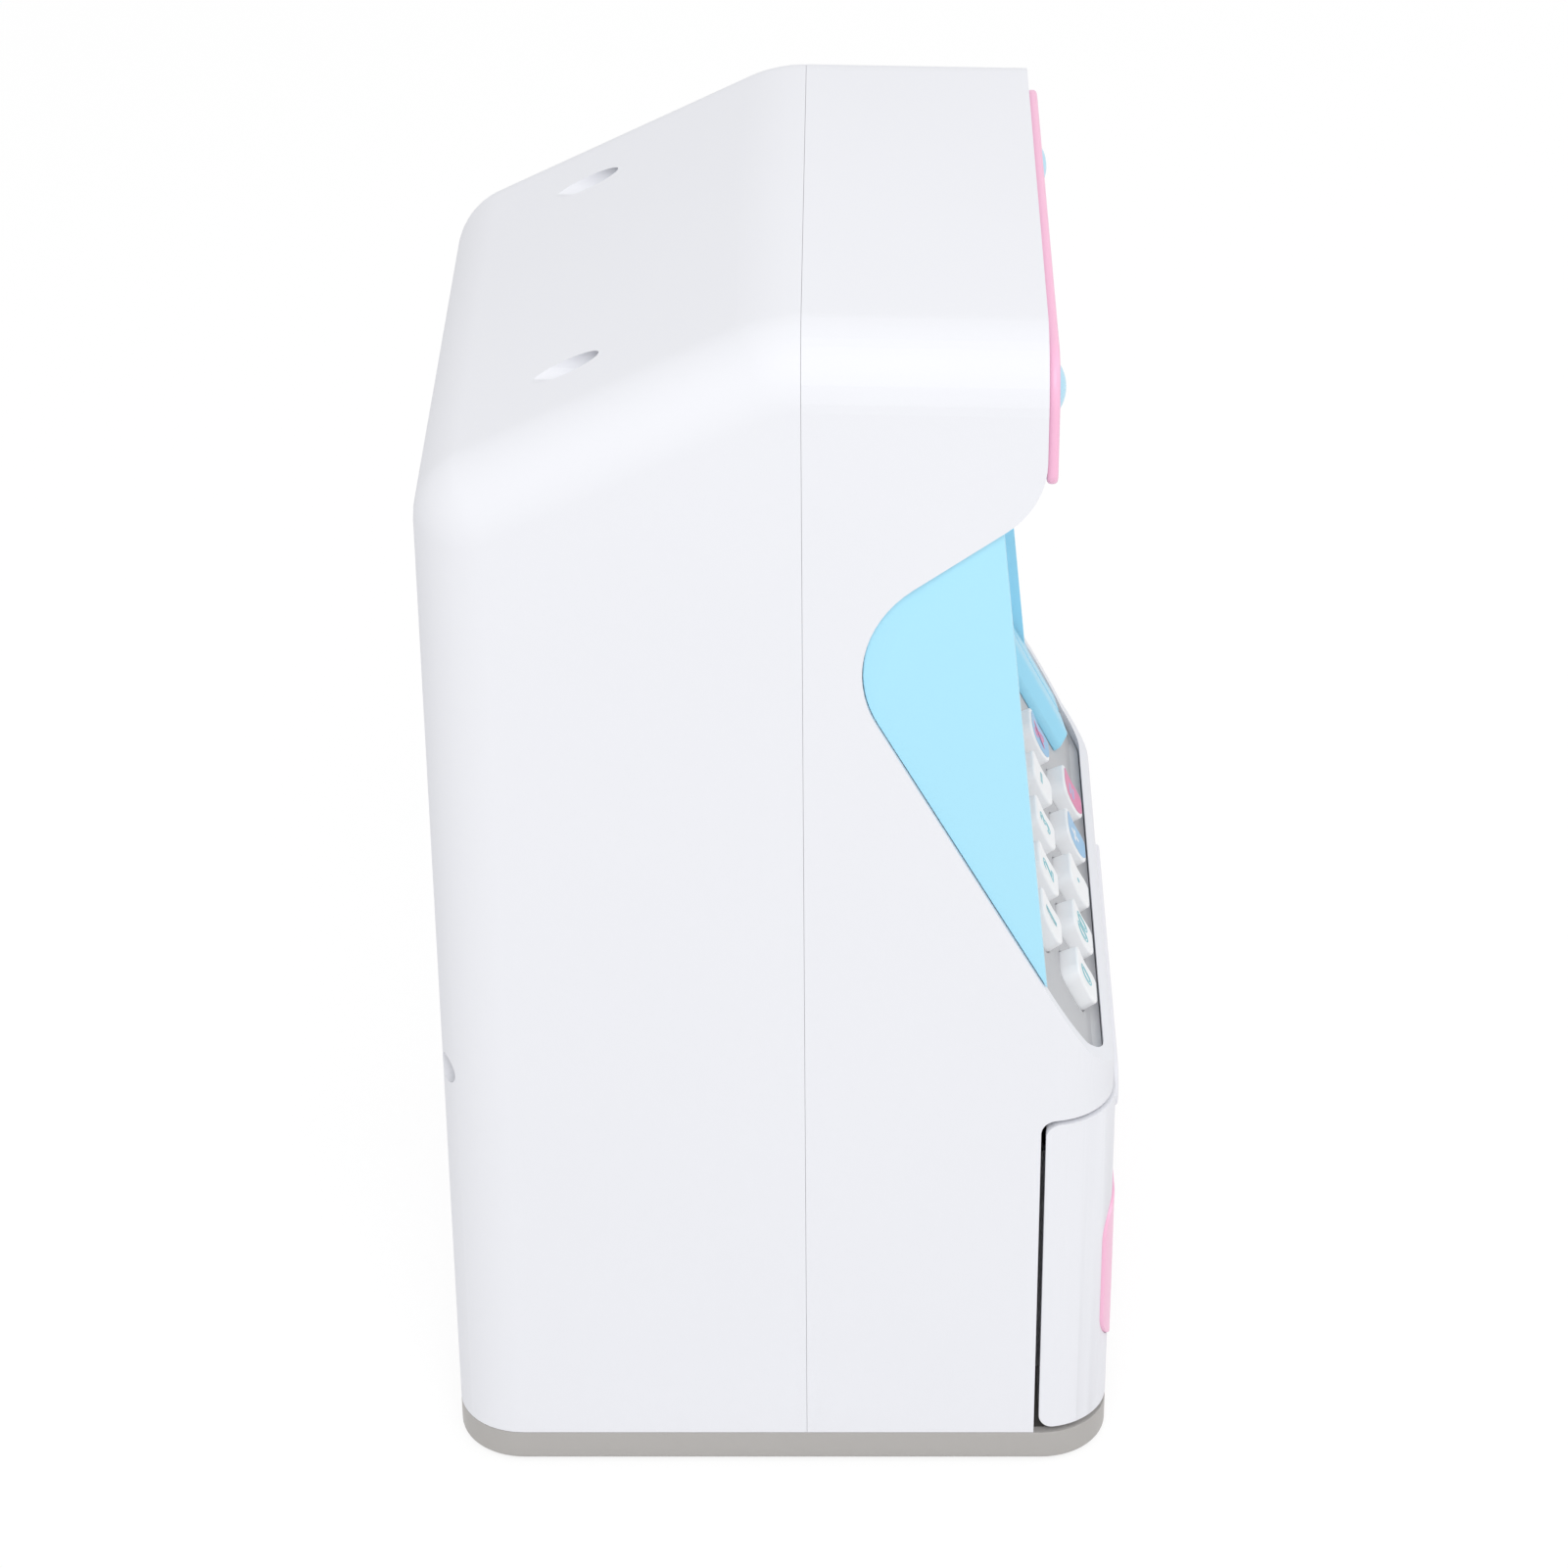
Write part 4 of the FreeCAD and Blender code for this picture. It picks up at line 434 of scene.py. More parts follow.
EDGE_RADII = {
    "front_shell": 0.1, "rear_shell": 0.1, "base_tray": 0.3, "drawer_front": 0.6, "drawer_pull": 0.5,
    "drawer_tray": 0.4, "recess_liner": 0.12, "card_reader": 0.5, "battery_door": 0.3, "switch_slider": 0.3,
}
LINER_GROWTH = 0.15 * MM
for node, radius in EDGE_RADII.items():
    softened(node, radius)
liner = bpy.data.objects["recess_liner_moulded"]
grow = liner.modifiers.new("snug_fit", "DISPLACE")
grow.mid_level = 0.0
grow.strength = LINER_GROWTH
liner.modifiers.move(len(liner.modifiers) - 1, 0)
print("softened", len(EDGE_RADII))

# %% [markdown]
# ## The keyboard's own frame
#
# The keys go straight into the sloping panel, so a key joint's axis is the panel's normal. With it, any
# node can be measured across the slope, up it and out of it, and keys are drawn flat and then laid there.

# %% Slope frame

press = np.array(next(joint["axis"] for joint in frame["joints"] if joint["name"] == "key_5_press"))
OUT = -press / np.linalg.norm(press)
ACROSS = np.array([1.0, 0.0, 0.0])
UP = np.cross(OUT, ACROSS)
SLOPE_AXES = np.stack([ACROSS, UP, OUT])
PANEL_ORIGIN = np.array([0.0, -54.4, 106.05]) * MM


def node_points(node):
    """All the points of a node's mesh as one array."""
    return mesh_points(nodes[node].data)


def slope_box(node):
    """Lowest and highest corner of a node, measured along the slope's three axes."""
    seen = node_points(node) @ SLOPE_AXES.T
    return seen.min(axis=0), seen.max(axis=0)


STEM_END = 6.0 * MM
PANEL_FACE = slope_box("key_5")[0][2] + STEM_END
print("panel face", round(float(PANEL_FACE) / MM, 2), "mm out along the slope's normal")

# %% [markdown]
# ## Seam and card bar
#
# The solids leave a fitting gap along the seam, which would show as a dark line; in the photo the halves
# almost touch, so the copy of the rear shell takes up most of the gap. The photo's card bar is wider, ends
# sooner and stands higher beside the keys than the solid, so its copy is stretched to fit.

# %% Seam and bar

SEAM_REAR, SEAM_FRONT = -4.2 * MM, -4.35 * MM
SEAM_LEFT, SEAM_NEAR = 0.06 * MM, 0.02 * MM
BAR_WIDER, BAR_SHORTER = 4.5 * MM, 3.5 * MM
BAR_RISE = 0.5


shell = bpy.data.objects["rear_shell_moulded"]
points = mesh_points(shell.data)
rim = np.abs(points[:, 1] - SEAM_REAR) < SEAM_NEAR
points[rim, 1] = SEAM_FRONT + SEAM_LEFT
move_points(shell.data, points)
bar = bpy.data.objects["card_reader_moulded"]
flat = mesh_points(bar.data) @ SLOPE_AXES.T
nearness = (flat[:, 0].max() - flat[:, 0]) / np.ptp(flat[:, 0])
base = flat[:, 2].min()
flat[:, 0] -= BAR_WIDER * nearness
flat[:, 1] += BAR_SHORTER * (flat[:, 1].max() - flat[:, 1]) / np.ptp(flat[:, 1])
flat[:, 2] = base + (flat[:, 2] - base) * (1.0 + BAR_RISE * nearness)
move_points(bar.data, flat @ SLOPE_AXES)
# The bar takes the darker copy of the blue plastic, which is painted shade.
bar.data.materials[0] = BAR_SHADED_BLUE
print("seam points", int(rim.sum()), "bar width mm", round(float(np.ptp(flat[:, 0])) / MM, 2))

# %% [markdown]
# ## Key caps
#
# A key is a rounded square that leans in a little on its way up, turns over a soft rim and ends in a top that
# is dished for the finger. Rings of one rounded square, moved in and up along that profile, give the whole
# cap; under the panel come the flange that keeps the key in its hole and the cross-shaped stem. The photo's
# keys are smaller than the solids and stand lower on the slope, so the caps follow the photo, and the stem
# stays over the rubber mat's nub.

# %% Rounded squares and the dish

KEY_HALF = np.array([5.2, 5.2]) * MM
KEY_CORNER = 2.6 * MM
KEY_RISE = 3.5 * MM
KEY_TILT = math.tan(math.radians(2.9))
KEY_LEAN = 0.25 * MM
KEY_RIM = 0.6 * MM
KEY_DISH = 0.4 * MM
KEY_DROP = 3.7 * MM
DISH_RADIUS = 26.0 * MM
FLANGE_REACH = 1.1 * MM
FLANGE_THICK = 1.0 * MM
FLANGE_LOW = -3.3 * MM
STEM_NARROW = 0.7 * MM
STEM_WIDE = 2.4 * MM
STEM_COLLAR = 2.6 * MM
STEM_ASIDE = 3.4 * MM
AROUND = 72


def rounded_loop(half_x, half_y, corner, around):
    """A rectangle with round corners: corner centres pushed out by a turning radius, evenly respaced, and
    rolled so that the first point lies on the x axis."""
    turn = (np.arange(256) + 0.5) / 256 * 2 * np.pi
    x = np.sign(np.cos(turn)) * (half_x - corner) + corner * np.cos(turn)
    y = np.sign(np.sin(turn)) * (half_y - corner) + corner * np.sin(turn)
    closed = np.stack([np.append(x, x[0]), np.append(y, y[0])], axis=-1)
    length = np.append(0.0, np.cumsum(np.linalg.norm(np.diff(closed, axis=0), axis=1)))
    wanted = np.arange(around) / around * length[-1]
    even = np.stack([np.interp(wanted, length, closed[:, axis]) for axis in (0, 1)], axis=-1)
    return np.roll(even, -np.argmin(np.abs(np.arctan2(even[:, 1], even[:, 0]))), axis=0)


def dish_depth(y):
    """How far the top lies under its rim: a shallow cylinder that runs across the slope."""
    sag = DISH_RADIUS - np.sqrt(DISH_RADIUS ** 2 - np.square(y))
    return np.clip(KEY_DISH - sag, 0.0, None)


def top_height(y):
    """Height of a key's top over the panel: a plane that climbs up the slope, less the dish."""
    return KEY_RISE + KEY_TILT * y - dish_depth(y)


# %% One cap


def cap_rings():
    """Rings of a cap in its own frame, z = 0 on the panel: stem, flange, leaning wall, rim arc, then the
    dished top."""
    arc = np.linspace(0.0, np.pi / 2, 7)
    flange_top = FLANGE_LOW + FLANGE_THICK
    inset = np.concatenate([
        [-FLANGE_REACH, -FLANGE_REACH, 0.0, 0.0, KEY_LEAN / 2],
        KEY_LEAN + KEY_RIM * (1 - np.cos(arc))])
    height = np.concatenate([
        [FLANGE_LOW, flange_top, flange_top, 0.0, (KEY_RISE - KEY_RIM) / 2],
        KEY_RISE - KEY_RIM + KEY_RIM * np.sin(arc)])
    climb = np.concatenate([np.zeros(4), [0.5], np.ones(len(arc))])
    sink = np.concatenate([np.zeros(4), [0.4], np.linspace(0.8, 1.0, len(arc))])
    loops = np.stack([
        rounded_loop(*(KEY_HALF - shift), max(KEY_CORNER - shift, 0.4 * MM), AROUND) for shift in inset])
    up = loops[:, :, 1]
    z = height[:, None] + climb[:, None] * KEY_TILT * up - sink[:, None] * dish_depth(up)
    wall = np.concatenate([loops, z[:, :, None]], axis=-1)
    tops = loops[-1] * np.linspace(0.9, 0.1, 9)[:, None, None]
    top = np.concatenate([tops, top_height(tops[:, :, 1])[:, :, None]], axis=-1)
    aside = np.array([0.0, STEM_ASIDE])
    cross = cross_loop(STEM_NARROW, STEM_WIDE, AROUND) + aside
    collar = circle_loop(STEM_COLLAR, AROUND) + aside
    stem = stack_loops([cross, cross, collar], [-STEM_END, FLANGE_LOW, FLANGE_LOW])
    return np.concatenate([stem, wall, top])


def lay_on_slope(points, centre):
    """From a key's own frame to the part's: across, up and out from the key's place on the panel."""
    return (points + centre) @ SLOPE_AXES


KEY_NAMES = [node for node in nodes if node_slot[node] == "key_plastic"]
KEY_CENTRES = {}
for key in KEY_NAMES:
    low, high = slope_box(key)
    across, up = (low + high)[:2] / 2
    KEY_CENTRES[key] = np.array([across, up - KEY_DROP, PANEL_FACE])
    points, faces = closed_stack(cap_rings())
    cap = add_mesh(key + "_cap_moulded", lay_on_slope(points, KEY_CENTRES[key]), faces)
    smooth_by_angle(cap)
    dress(cap, node_body[key], "key_plastic", KEY, key)
print("key caps", len(KEY_NAMES))

# %% [markdown]
# ## Plates with holes
#
# The keyboard's panel and the pink strip are flat plates with many openings. Such a plate is easiest as one
# flat curve: its outline and its holes are loops of the same curve, Blender fills between them, and the
# curve's own thickness and round bevel finish it. The mesh made from it is merged and laid in its place.

# %% A drilled plate


def flat_curve_mesh(curve):
    """The mesh of a flat curve or text: doubled points merged, faces turned outwards."""
    holder = bpy.data.objects.new(curve.name + "_curve", curve)
    bpy.context.scene.collection.objects.link(holder)
    bpy.context.view_layer.update()
    mesh = bpy.data.meshes.new_from_object(holder.evaluated_get(bpy.context.evaluated_depsgraph_get()))
    bpy.data.objects.remove(holder)
    work = bmesh.new()
    work.from_mesh(mesh)
    bmesh.ops.remove_doubles(work, verts=work.verts, dist=1e-6)
    bmesh.ops.recalc_face_normals(work, faces=work.faces)
    work.to_mesh(mesh)
    work.free()
    return mesh


def drilled_plate(name, outline, holes, thick, edge):
    """A plate from height 0 down to its thickness. The bevel makes every loop's edge round, and it adds the
    edge's radius to the plate, so the outline is given smaller and the holes larger by that radius."""
    curve = bpy.data.curves.new(name, "CURVE")
    curve.dimensions = "2D"
    curve.fill_mode = "BOTH"
    curve.extrude = thick / 2 - edge
    curve.bevel_depth = edge
    curve.bevel_resolution = 2
    for loop in [outline] + holes:
        spline = curve.splines.new("POLY")
        spline.points.add(len(loop) - 1)
        flat = np.concatenate([loop, np.tile([0.0, 1.0], (len(loop), 1))], axis=1)
        spline.points.foreach_set("co", flat.astype(np.float32).ravel())
        spline.use_cyclic_u = True
    mesh = flat_curve_mesh(curve)
    return mesh, mesh_points(mesh) - np.array([0.0, 0.0, thick / 2])


def add_placed(name, mesh, placed, degrees=CREASE):
    """A finished mesh as a piece, with its points at their places in the part."""
    move_points(mesh, placed)
    piece = bpy.data.objects.new(name, mesh)
    bpy.context.scene.collection.objects.link(piece)
    smooth_by_angle(piece, degrees)
    return piece


# %% Keyboard panel

PANEL_THICK = 2.0 * MM
PANEL_EDGE = 0.15 * MM
PANEL_LOW, PANEL_STEP, PANEL_TOP = -17.43 * MM, 7.1 * MM, 90.0 * MM
PANEL_WIDE, PANEL_NARROW = 67.0 * MM, 65.0 * MM
CORNER_ACROSS, CORNER_UP = 11.0 * MM, 23.83 * MM
KEY_GAP = 0.3 * MM
POST_X, POST_Y = np.array([-60.5, 40.0]) * MM, np.array([-10.5, 56.5]) * MM
POST_RADIUS, POST_BORE = 2.6 * MM, 1.15 * MM
POST_END, POST_FLOOR = -10.3 * MM, -3.3 * MM


def panel_outline(inset):
    """Half the outline and its mirror image: a quarter ellipse at the foot, where the panel meets the round
    corner of the housing, then the side with the step under the cheek, then the top."""
    turn = np.linspace(0.0, np.pi / 2, 16)
    across, up = CORNER_ACROSS - inset, CORNER_UP - inset
    foot = np.stack([PANEL_WIDE - CORNER_ACROSS + across * np.sin(turn),
                     PANEL_LOW + CORNER_UP - up * np.cos(turn)], axis=-1)
    side = np.array([[PANEL_WIDE - inset, PANEL_STEP - inset], [PANEL_NARROW - inset, PANEL_STEP - inset],
                     [PANEL_NARROW - inset, PANEL_TOP - inset]])
    half = np.concatenate([foot, side])
    return np.concatenate([half, half[::-1] * np.array([-1.0, 1.0])])


def post_rings(x, y):
    """A post under the panel with a bore for its screw: the bore down from its floor, the end, then the
    outside up."""
    outer, bore = circle_loop(POST_RADIUS, 32), circle_loop(POST_BORE, 32)
    rings = stack_loops([bore, bore, outer, outer], [POST_FLOOR, POST_END, POST_END, -PANEL_THICK / 2])
    return rings + np.array([x, y, 0.0])


LIP_REACH = 63.0 * MM
LIP_GAP = 0.15 * MM
LIP_RISE, LIP_RUN, LIP_SUNK = 1.1 * MM, 2.2 * MM, 0.1 * MM
LIP_LEAN = UP[2] / OUT[2]
LIP_END = 0.1 * LIP_REACH
LIP_LEAST = 0.15


def lip_strip_rings():
    """A strip that fills the narrow wedge between the panel's foot and the lip in front of it: one four-sided
    section for each point of the foot's outline, moved along the slope, lower towards both ends."""
    foot = panel_outline(LIP_GAP)
    foot = foot[(np.abs(foot[:, 0]) < LIP_REACH) & (foot[:, 1] < 0.0)]
    foot = foot[np.argsort(foot[:, 0])]
    share = np.clip((LIP_REACH - np.abs(foot[:, 0])) / LIP_END, LIP_LEAST, 1.0)
    rise = LIP_RISE * share
    lean = rise * LIP_LEAN
    run = lean + LIP_RUN * share
    level = np.zeros_like(rise)
    section_y = np.stack([level, lean, run, run], axis=-1)
    section_z = np.stack([level - LIP_SUNK, rise, level, level - LIP_SUNK], axis=-1)
    across = np.repeat(foot[:, :1], 4, axis=1)
    return np.stack([across, foot[:, 1:] + section_y, section_z], axis=-1)


panel_start = PANEL_ORIGIN @ SLOPE_AXES.T
key_hole = rounded_loop(*(KEY_HALF + KEY_GAP + PANEL_EDGE), KEY_CORNER + KEY_GAP + PANEL_EDGE, 40)
key_holes = [key_hole + centre[:2] - panel_start[:2] for centre in KEY_CENTRES.values()]
mesh, flat = drilled_plate(
    "keyboard_panel_moulded", panel_outline(PANEL_EDGE), key_holes, PANEL_THICK, PANEL_EDGE)
panel = add_placed("keyboard_panel_moulded", mesh, lay_on_slope(flat, panel_start))
dress(panel, node_body["keyboard_panel"], "panel_plastic", PANEL, "keyboard_panel")
points, faces = several([post_rings(x, y) for x in POST_X for y in POST_Y])
posts = add_mesh("keyboard_panel_posts", lay_on_slope(points, panel_start), faces)
smooth_by_angle(posts)
dress(posts, node_body["keyboard_panel"], "panel_plastic", PANEL)
points, faces = closed_stack(lip_strip_rings())
lip_strip = add_mesh("keyboard_panel_foot", lay_on_slope(points, panel_start), faces)
smooth_by_angle(lip_strip)
dress(lip_strip, node_body["keyboard_panel"], "panel_plastic", PANEL)
print("panel faces", len(panel.data.polygons), "posts", len(POST_X) * len(POST_Y))

# %% Display strip

FRONT_AXES = np.array([[1.0, 0.0, 0.0], [0.0, 0.0, 1.0], [0.0, -1.0, 0.0]])
STRIP_EDGE = 0.8 * MM
STRIP_TOP_CORNER, STRIP_LOW_CORNER = 9.0 * MM, 3.0 * MM
WINDOW_HALF = np.array([30.0, 7.0]) * MM
BUTTON_X = 49.5 * MM
BUTTON_RADIUS = 4.95 * MM
BUTTON_GAP = 0.35 * MM


def strip_outline(half_x, half_z, top_corner, low_corner):
    """A rectangle about its middle with larger round corners above than below: quarter circles in turn."""
    turn = np.linspace(0.0, np.pi / 2, 10)
    arc = np.stack([np.cos(turn), np.sin(turn)], axis=-1)
    high = np.array([half_x, half_z]) - top_corner + top_corner * arc
    low = (np.array([half_x, half_z]) - low_corner + low_corner * arc[::-1]) * np.array([1.0, -1.0])
    right = np.concatenate([low, high])
    return np.concatenate([right, right[::-1] * np.array([-1.0, 1.0])])


strip = node_points("display_bezel")
strip_low, strip_high = strip.min(axis=0), strip.max(axis=0)
strip_middle = (strip_low + strip_high) / 2
strip_half = (strip_high - strip_low) / 2 - STRIP_EDGE
openings = [circle_loop(BUTTON_RADIUS + BUTTON_GAP + STRIP_EDGE, 48) + np.array([x, 0.0])
            for x in (-BUTTON_X, BUTTON_X)]
openings.append(rounded_loop(*(WINDOW_HALF + STRIP_EDGE), 1.2 * STRIP_EDGE, 64))
mesh, flat = drilled_plate(
    "display_bezel_moulded",
    strip_outline(strip_half[0], strip_half[2], STRIP_TOP_CORNER - STRIP_EDGE, STRIP_LOW_CORNER - STRIP_EDGE),
    openings, strip_high[1] - strip_low[1], STRIP_EDGE)
strip_face = np.array([strip_middle[0], strip_low[1], strip_middle[2]])
bezel = add_placed("display_bezel_moulded", mesh, flat @ FRONT_AXES + strip_face)
dress(bezel, node_body["display_bezel"], "pink_plastic", PINK, "display_bezel")
print("strip faces", len(bezel.data.polygons))

# %% [markdown]
# ## Legends
#
# Digits and signs are printed as thin outlines, and a few keys carry a coloured patch below the sign. A font
# gives the outline, a hair-thin stroke makes it solid, and each point is then lowered onto the dished top.

# %% Patches and outlines

INK_LIFT = 0.03 * MM
INK_CREASE = 60.0
PATCH_HALF = 4.45 * MM
PATCH_CORNER = 2.6 * MM


def on_dish(points, key, lift):
    """Drop flat points onto the dished top of a key, lift them clear, and lay them on the slope."""
    z = points[:, 2] + top_height(points[:, 1]) + lift
    return lay_on_slope(np.concatenate([points[:, :2], z[:, None]], axis=-1), KEY_CENTRES[key])


def add_patch(key, ink):
    """A printed patch that fills the top: one rounded square shrunk towards its middle, top and underside a
    hair apart."""
    loop = rounded_loop(PATCH_HALF, PATCH_HALF, PATCH_CORNER, 64)
    edge = np.concatenate([loop, np.zeros((len(loop), 1))], axis=1)
    shares = np.linspace(0.08, 1.0, 10)
    under = edge * shares[:, None, None]
    over = edge * shares[::-1, None, None] + np.array([0.0, 0.0, INK_LIFT])
    points, faces = closed_stack(np.concatenate([under, over]))
    patch = add_mesh(key + "_patch", on_dish(points, key, INK_LIFT), faces)
    smooth_by_angle(patch, INK_CREASE)
    return dress(patch, node_body[key], "key_plastic", ink)


def add_sign(key, words, size, stroke, ink, lift):
    """A generic digit or sign: the font's outline with a round stroke, flattened onto the key."""
    curve = bpy.data.curves.new(key + "_sign", "FONT")
    curve.body = words
    curve.size = size
    curve.align_x = "CENTER"
    curve.align_y = "CENTER"
    curve.fill_mode = "NONE"
    curve.bevel_depth = stroke
    curve.bevel_resolution = 1
    curve.resolution_u = 6
    mesh = flat_curve_mesh(curve)
    flat = mesh_points(mesh) * np.array([1.0, 1.0, 0.3])
    flat[:, :2] -= (flat[:, :2].min(axis=0) + flat[:, :2].max(axis=0)) / 2
    sign = add_placed(key + "_sign", mesh, on_dish(flat, key, lift), INK_CREASE)
    return dress(sign, node_body[key], "key_plastic", ink)


SIGNS = {
    "point": ".", "plus": "+", "equals": "=", "minus": "−", "percent": "%", "times": "×",
    "back": "←", "divide": "÷", "clear": "C",
}
PATCHES = {
    "key_plus": (INK_BLUE, KEY), "key_equals": (INK_PINK, INK_BLUE), "key_percent": (INK_BLUE, INK_PINK),
    "key_back": (INK_BLUE, INK_PINK), "key_clear": (INK_PINK, INK_BLUE),
}
SIGN_SIZE = 7.0 * MM
SIGN_STROKE = 0.17 * MM
for key in KEY_NAMES:
    word = key.removeprefix("key_")
    ink = INK_TEAL
    lift = INK_LIFT
    if key in PATCHES:
        patch_ink, ink = PATCHES[key]
        add_patch(key, patch_ink)
        lift = 2 * INK_LIFT
    add_sign(key, SIGNS.get(word, word), SIGN_SIZE, SIGN_STROKE, ink, lift)
print("legends", len(KEY_NAMES), "patches", len(PATCHES))

# %% [markdown]
# ## Dome buttons and feet
#
# Both are turned forms: circles stacked along an axis. The button's rings start at its contact stem, widen
# to the two ears that keep it behind the rim, and end in a shallow ball cap. The feet are plain rubber discs
# with a rounded lower edge.

# %% Dome buttons

BUTTON_STEM = 2.2 * MM
BUTTON_NECK = 4.4 * MM
BUTTON_PROUD = 1.8 * MM
BUTTON_TRAVEL = 1.1 * MM
EAR_HALF = np.array([3.5, 6.2]) * MM
EAR_CORNER = 0.6 * MM
EAR_BACK, EAR_THICK = 1.9 * MM, 1.0 * MM


def button_rings(back, rim, face):
    """Rings along the push axis: stem, ears, a neck through the rim, the wider cap that stays clear of the
    rim when it is pressed, then a ball cap that stands proud of the strip and ends in a flat spot."""
    ball = (BUTTON_RADIUS ** 2 + BUTTON_PROUD ** 2) / (2 * BUTTON_PROUD)
    turn = np.linspace(math.asin(BUTTON_RADIUS / ball), 0.03, 12)
    dome = [circle_loop(ball * math.sin(angle)) for angle in turn]
    dome_z = face + BUTTON_PROUD - ball + ball * np.cos(turn)
    stem, neck, wall = circle_loop(BUTTON_STEM), circle_loop(BUTTON_NECK), circle_loop(BUTTON_RADIUS)
    ear = rounded_loop(*EAR_HALF, EAR_CORNER, 64)
    ear_back, ear_front = back + EAR_BACK, back + EAR_BACK + EAR_THICK
    loops = [stem, stem, ear, ear, neck, neck, wall] + dome
    step = rim + BUTTON_TRAVEL
    heights = np.concatenate([[back, ear_back, ear_back, ear_front, ear_front, step, step], dome_z])
    return stack_loops(loops, heights)


for node, x in (("left_dome_button", -BUTTON_X), ("right_dome_button", BUTTON_X)):
    back = -node_points(node)[:, 1].max()
    points, faces = closed_stack(button_rings(back, -strip_high[1], -strip_low[1]))
    seat = points @ FRONT_AXES + np.array([x, 0.0, strip_middle[2]])
    button = add_mesh(node + "_moulded", seat, faces)
    smooth_by_angle(button)
    dress(button, node_body[node], "button_plastic", BUTTON, node)
print("dome buttons 2")

# %% Feet

FOOT_RADIUS = 5.0 * MM
FOOT_HEIGHT = float(node_points("rubber_feet")[:, 2].max())
FOOT_EDGE = 0.5 * MM
FOOT_PLACES = [(x * MM, y * MM) for x in (-50.0, 50.0) for y in (-45.0, 48.0)]


def foot_rings(x, y):
    """A disc whose lower edge is a quarter circle: radius by its sine, height by its cosine."""
    turn = np.linspace(0.0, np.pi / 2, 6)
    radii = np.append(FOOT_RADIUS - FOOT_EDGE + FOOT_EDGE * np.sin(turn), FOOT_RADIUS)
    heights = np.append(FOOT_EDGE * (1 - np.cos(turn)), FOOT_HEIGHT)
    return stack_loops([circle_loop(radius) for radius in radii], heights) + np.array([x, y, 0.0])


feet = add_mesh("rubber_feet_moulded", *several([foot_rings(x, y) for x, y in FOOT_PLACES]))
smooth_by_angle(feet)
dress(feet, node_body["rubber_feet"], "foot_rubber", FOOT, "rubber_feet")
print("feet", len(FOOT_PLACES))

# %% [markdown]
# ## Screws
#
# All the screws are pan-head tapping screws with a cross recess. One stack makes a whole screw: a tapered
# point, a thread whose radius follows the turn and the height together, the head's rounded edge, and a cross
# that is sunk into its top. The same function serves all sizes, and each group of screws is one piece.

# %% One screw

THREAD_PITCH = 1.1 * MM
THREAD_STEPS = 8


def thread_radius(turn, height, shank):
    """Core plus crest: a triangle wave that moves on by one pitch in each full turn."""
    phase = np.mod(height / THREAD_PITCH - turn / (2 * np.pi), 1.0)
    crest = 1.0 - np.abs(2.0 * phase - 1.0)
    return shank * (0.78 + 0.22 * crest)


def screw_rings(head, head_height, shank, length, around=48):
    """Rings from the point up: thread, head with a rounded shoulder, and the cross recess."""
    turn = np.arange(around) / around * 2 * np.pi
    heights = np.linspace(-length, 0.0, int(length / THREAD_PITCH * THREAD_STEPS))
    taper = np.clip((heights + length) / (2.2 * shank), 0.15, 1.0)
    radius = thread_radius(turn[None, :], heights[:, None], shank) * taper[:, None]
    thread = np.stack([radius * np.cos(turn), radius * np.sin(turn),
                       np.broadcast_to(heights[:, None], radius.shape)], axis=-1)
    arc = np.linspace(0.0, np.pi / 2, 7)
    soft = 0.6 * head_height
    edge = [circle_loop(head - soft + soft * math.cos(angle), around) for angle in arc]
    edge_z = head_height - soft + soft * np.sin(arc)
    cross = cross_loop(0.13 * head, 0.55 * head, around)
    loops = [circle_loop(head, around)] + edge + [circle_loop(0.58 * head, around), cross, cross * 0.8]
    floor = 0.45 * head_height
    top = stack_loops(loops, np.concatenate([[0.0], edge_z, [head_height, head_height, floor]]))
    return np.concatenate([thread, top])


def screws_along(axes, seats, sizes):
    """Closed stacks of equal screws, each with its head turned along the third of the axes."""
    rings = screw_rings(*[size * MM for size in sizes])
    return [rings @ axes + np.array(seat) * MM for seat in seats]


# %% All the screws

BACK_AXES = np.array([[-1.0, 0.0, 0.0], [0.0, 0.0, 1.0], [0.0, 1.0, 0.0]])
DOWN_AXES = np.array([[1.0, 0.0, 0.0], [0.0, -1.0, 0.0], [0.0, 0.0, -1.0]])
UNDER_AXES = np.stack([ACROSS, -UP, -OUT])
BOTH_SIDES = (-1, 1)
BOARD_UNDER = 12.0


def slope_seats(xs, ys, under):
    """Seats on the key board's underside, turned from the slope's frame into the part's."""
    spots = np.array([[x, y, 0.0] for x in xs for y in ys])
    return ((spots @ SLOPE_AXES + PANEL_ORIGIN - OUT * under * MM) / MM).tolist()


SCREW_GROUPS = {
    "shell_screws": screws_along(
        BACK_AXES,
        [(s * x, 0.7, z) for s in BOTH_SIDES for x, z in ((41.5, 233.5), (61.5, 92.0))],
        (2.7, 2.0, 1.4, 18.0)),
    "drawer_screws": screws_along(
        BACK_AXES,
        [(s * 40.0, -56.05, z) for s in BOTH_SIDES for z in (22.0, 56.0)],
        (2.4, 1.4, 1.1, 6.5)),
    "base_screws": screws_along(
        DOWN_AXES,
        [(s * 63.5, y, 3.55) for s in BOTH_SIDES for y in (-38.0, 44.0)],
        (2.6, 1.4, 1.2, 13.5)),
    "door_screw": screws_along(BACK_AXES, [(0.0, 65.7, 156.5)], (2.4, 0.9, 1.1, 8.0)),
    "board_screws": screws_along(
        UNDER_AXES, slope_seats(POST_X, POST_Y, BOARD_UNDER), (2.3, 1.4, 1.05, 7.3)) + screws_along(
        BACK_AXES, [(s * 57.0, -40.25, 241.0) for s in BOTH_SIDES], (2.0, 1.3, 0.95, 4.5)),
}
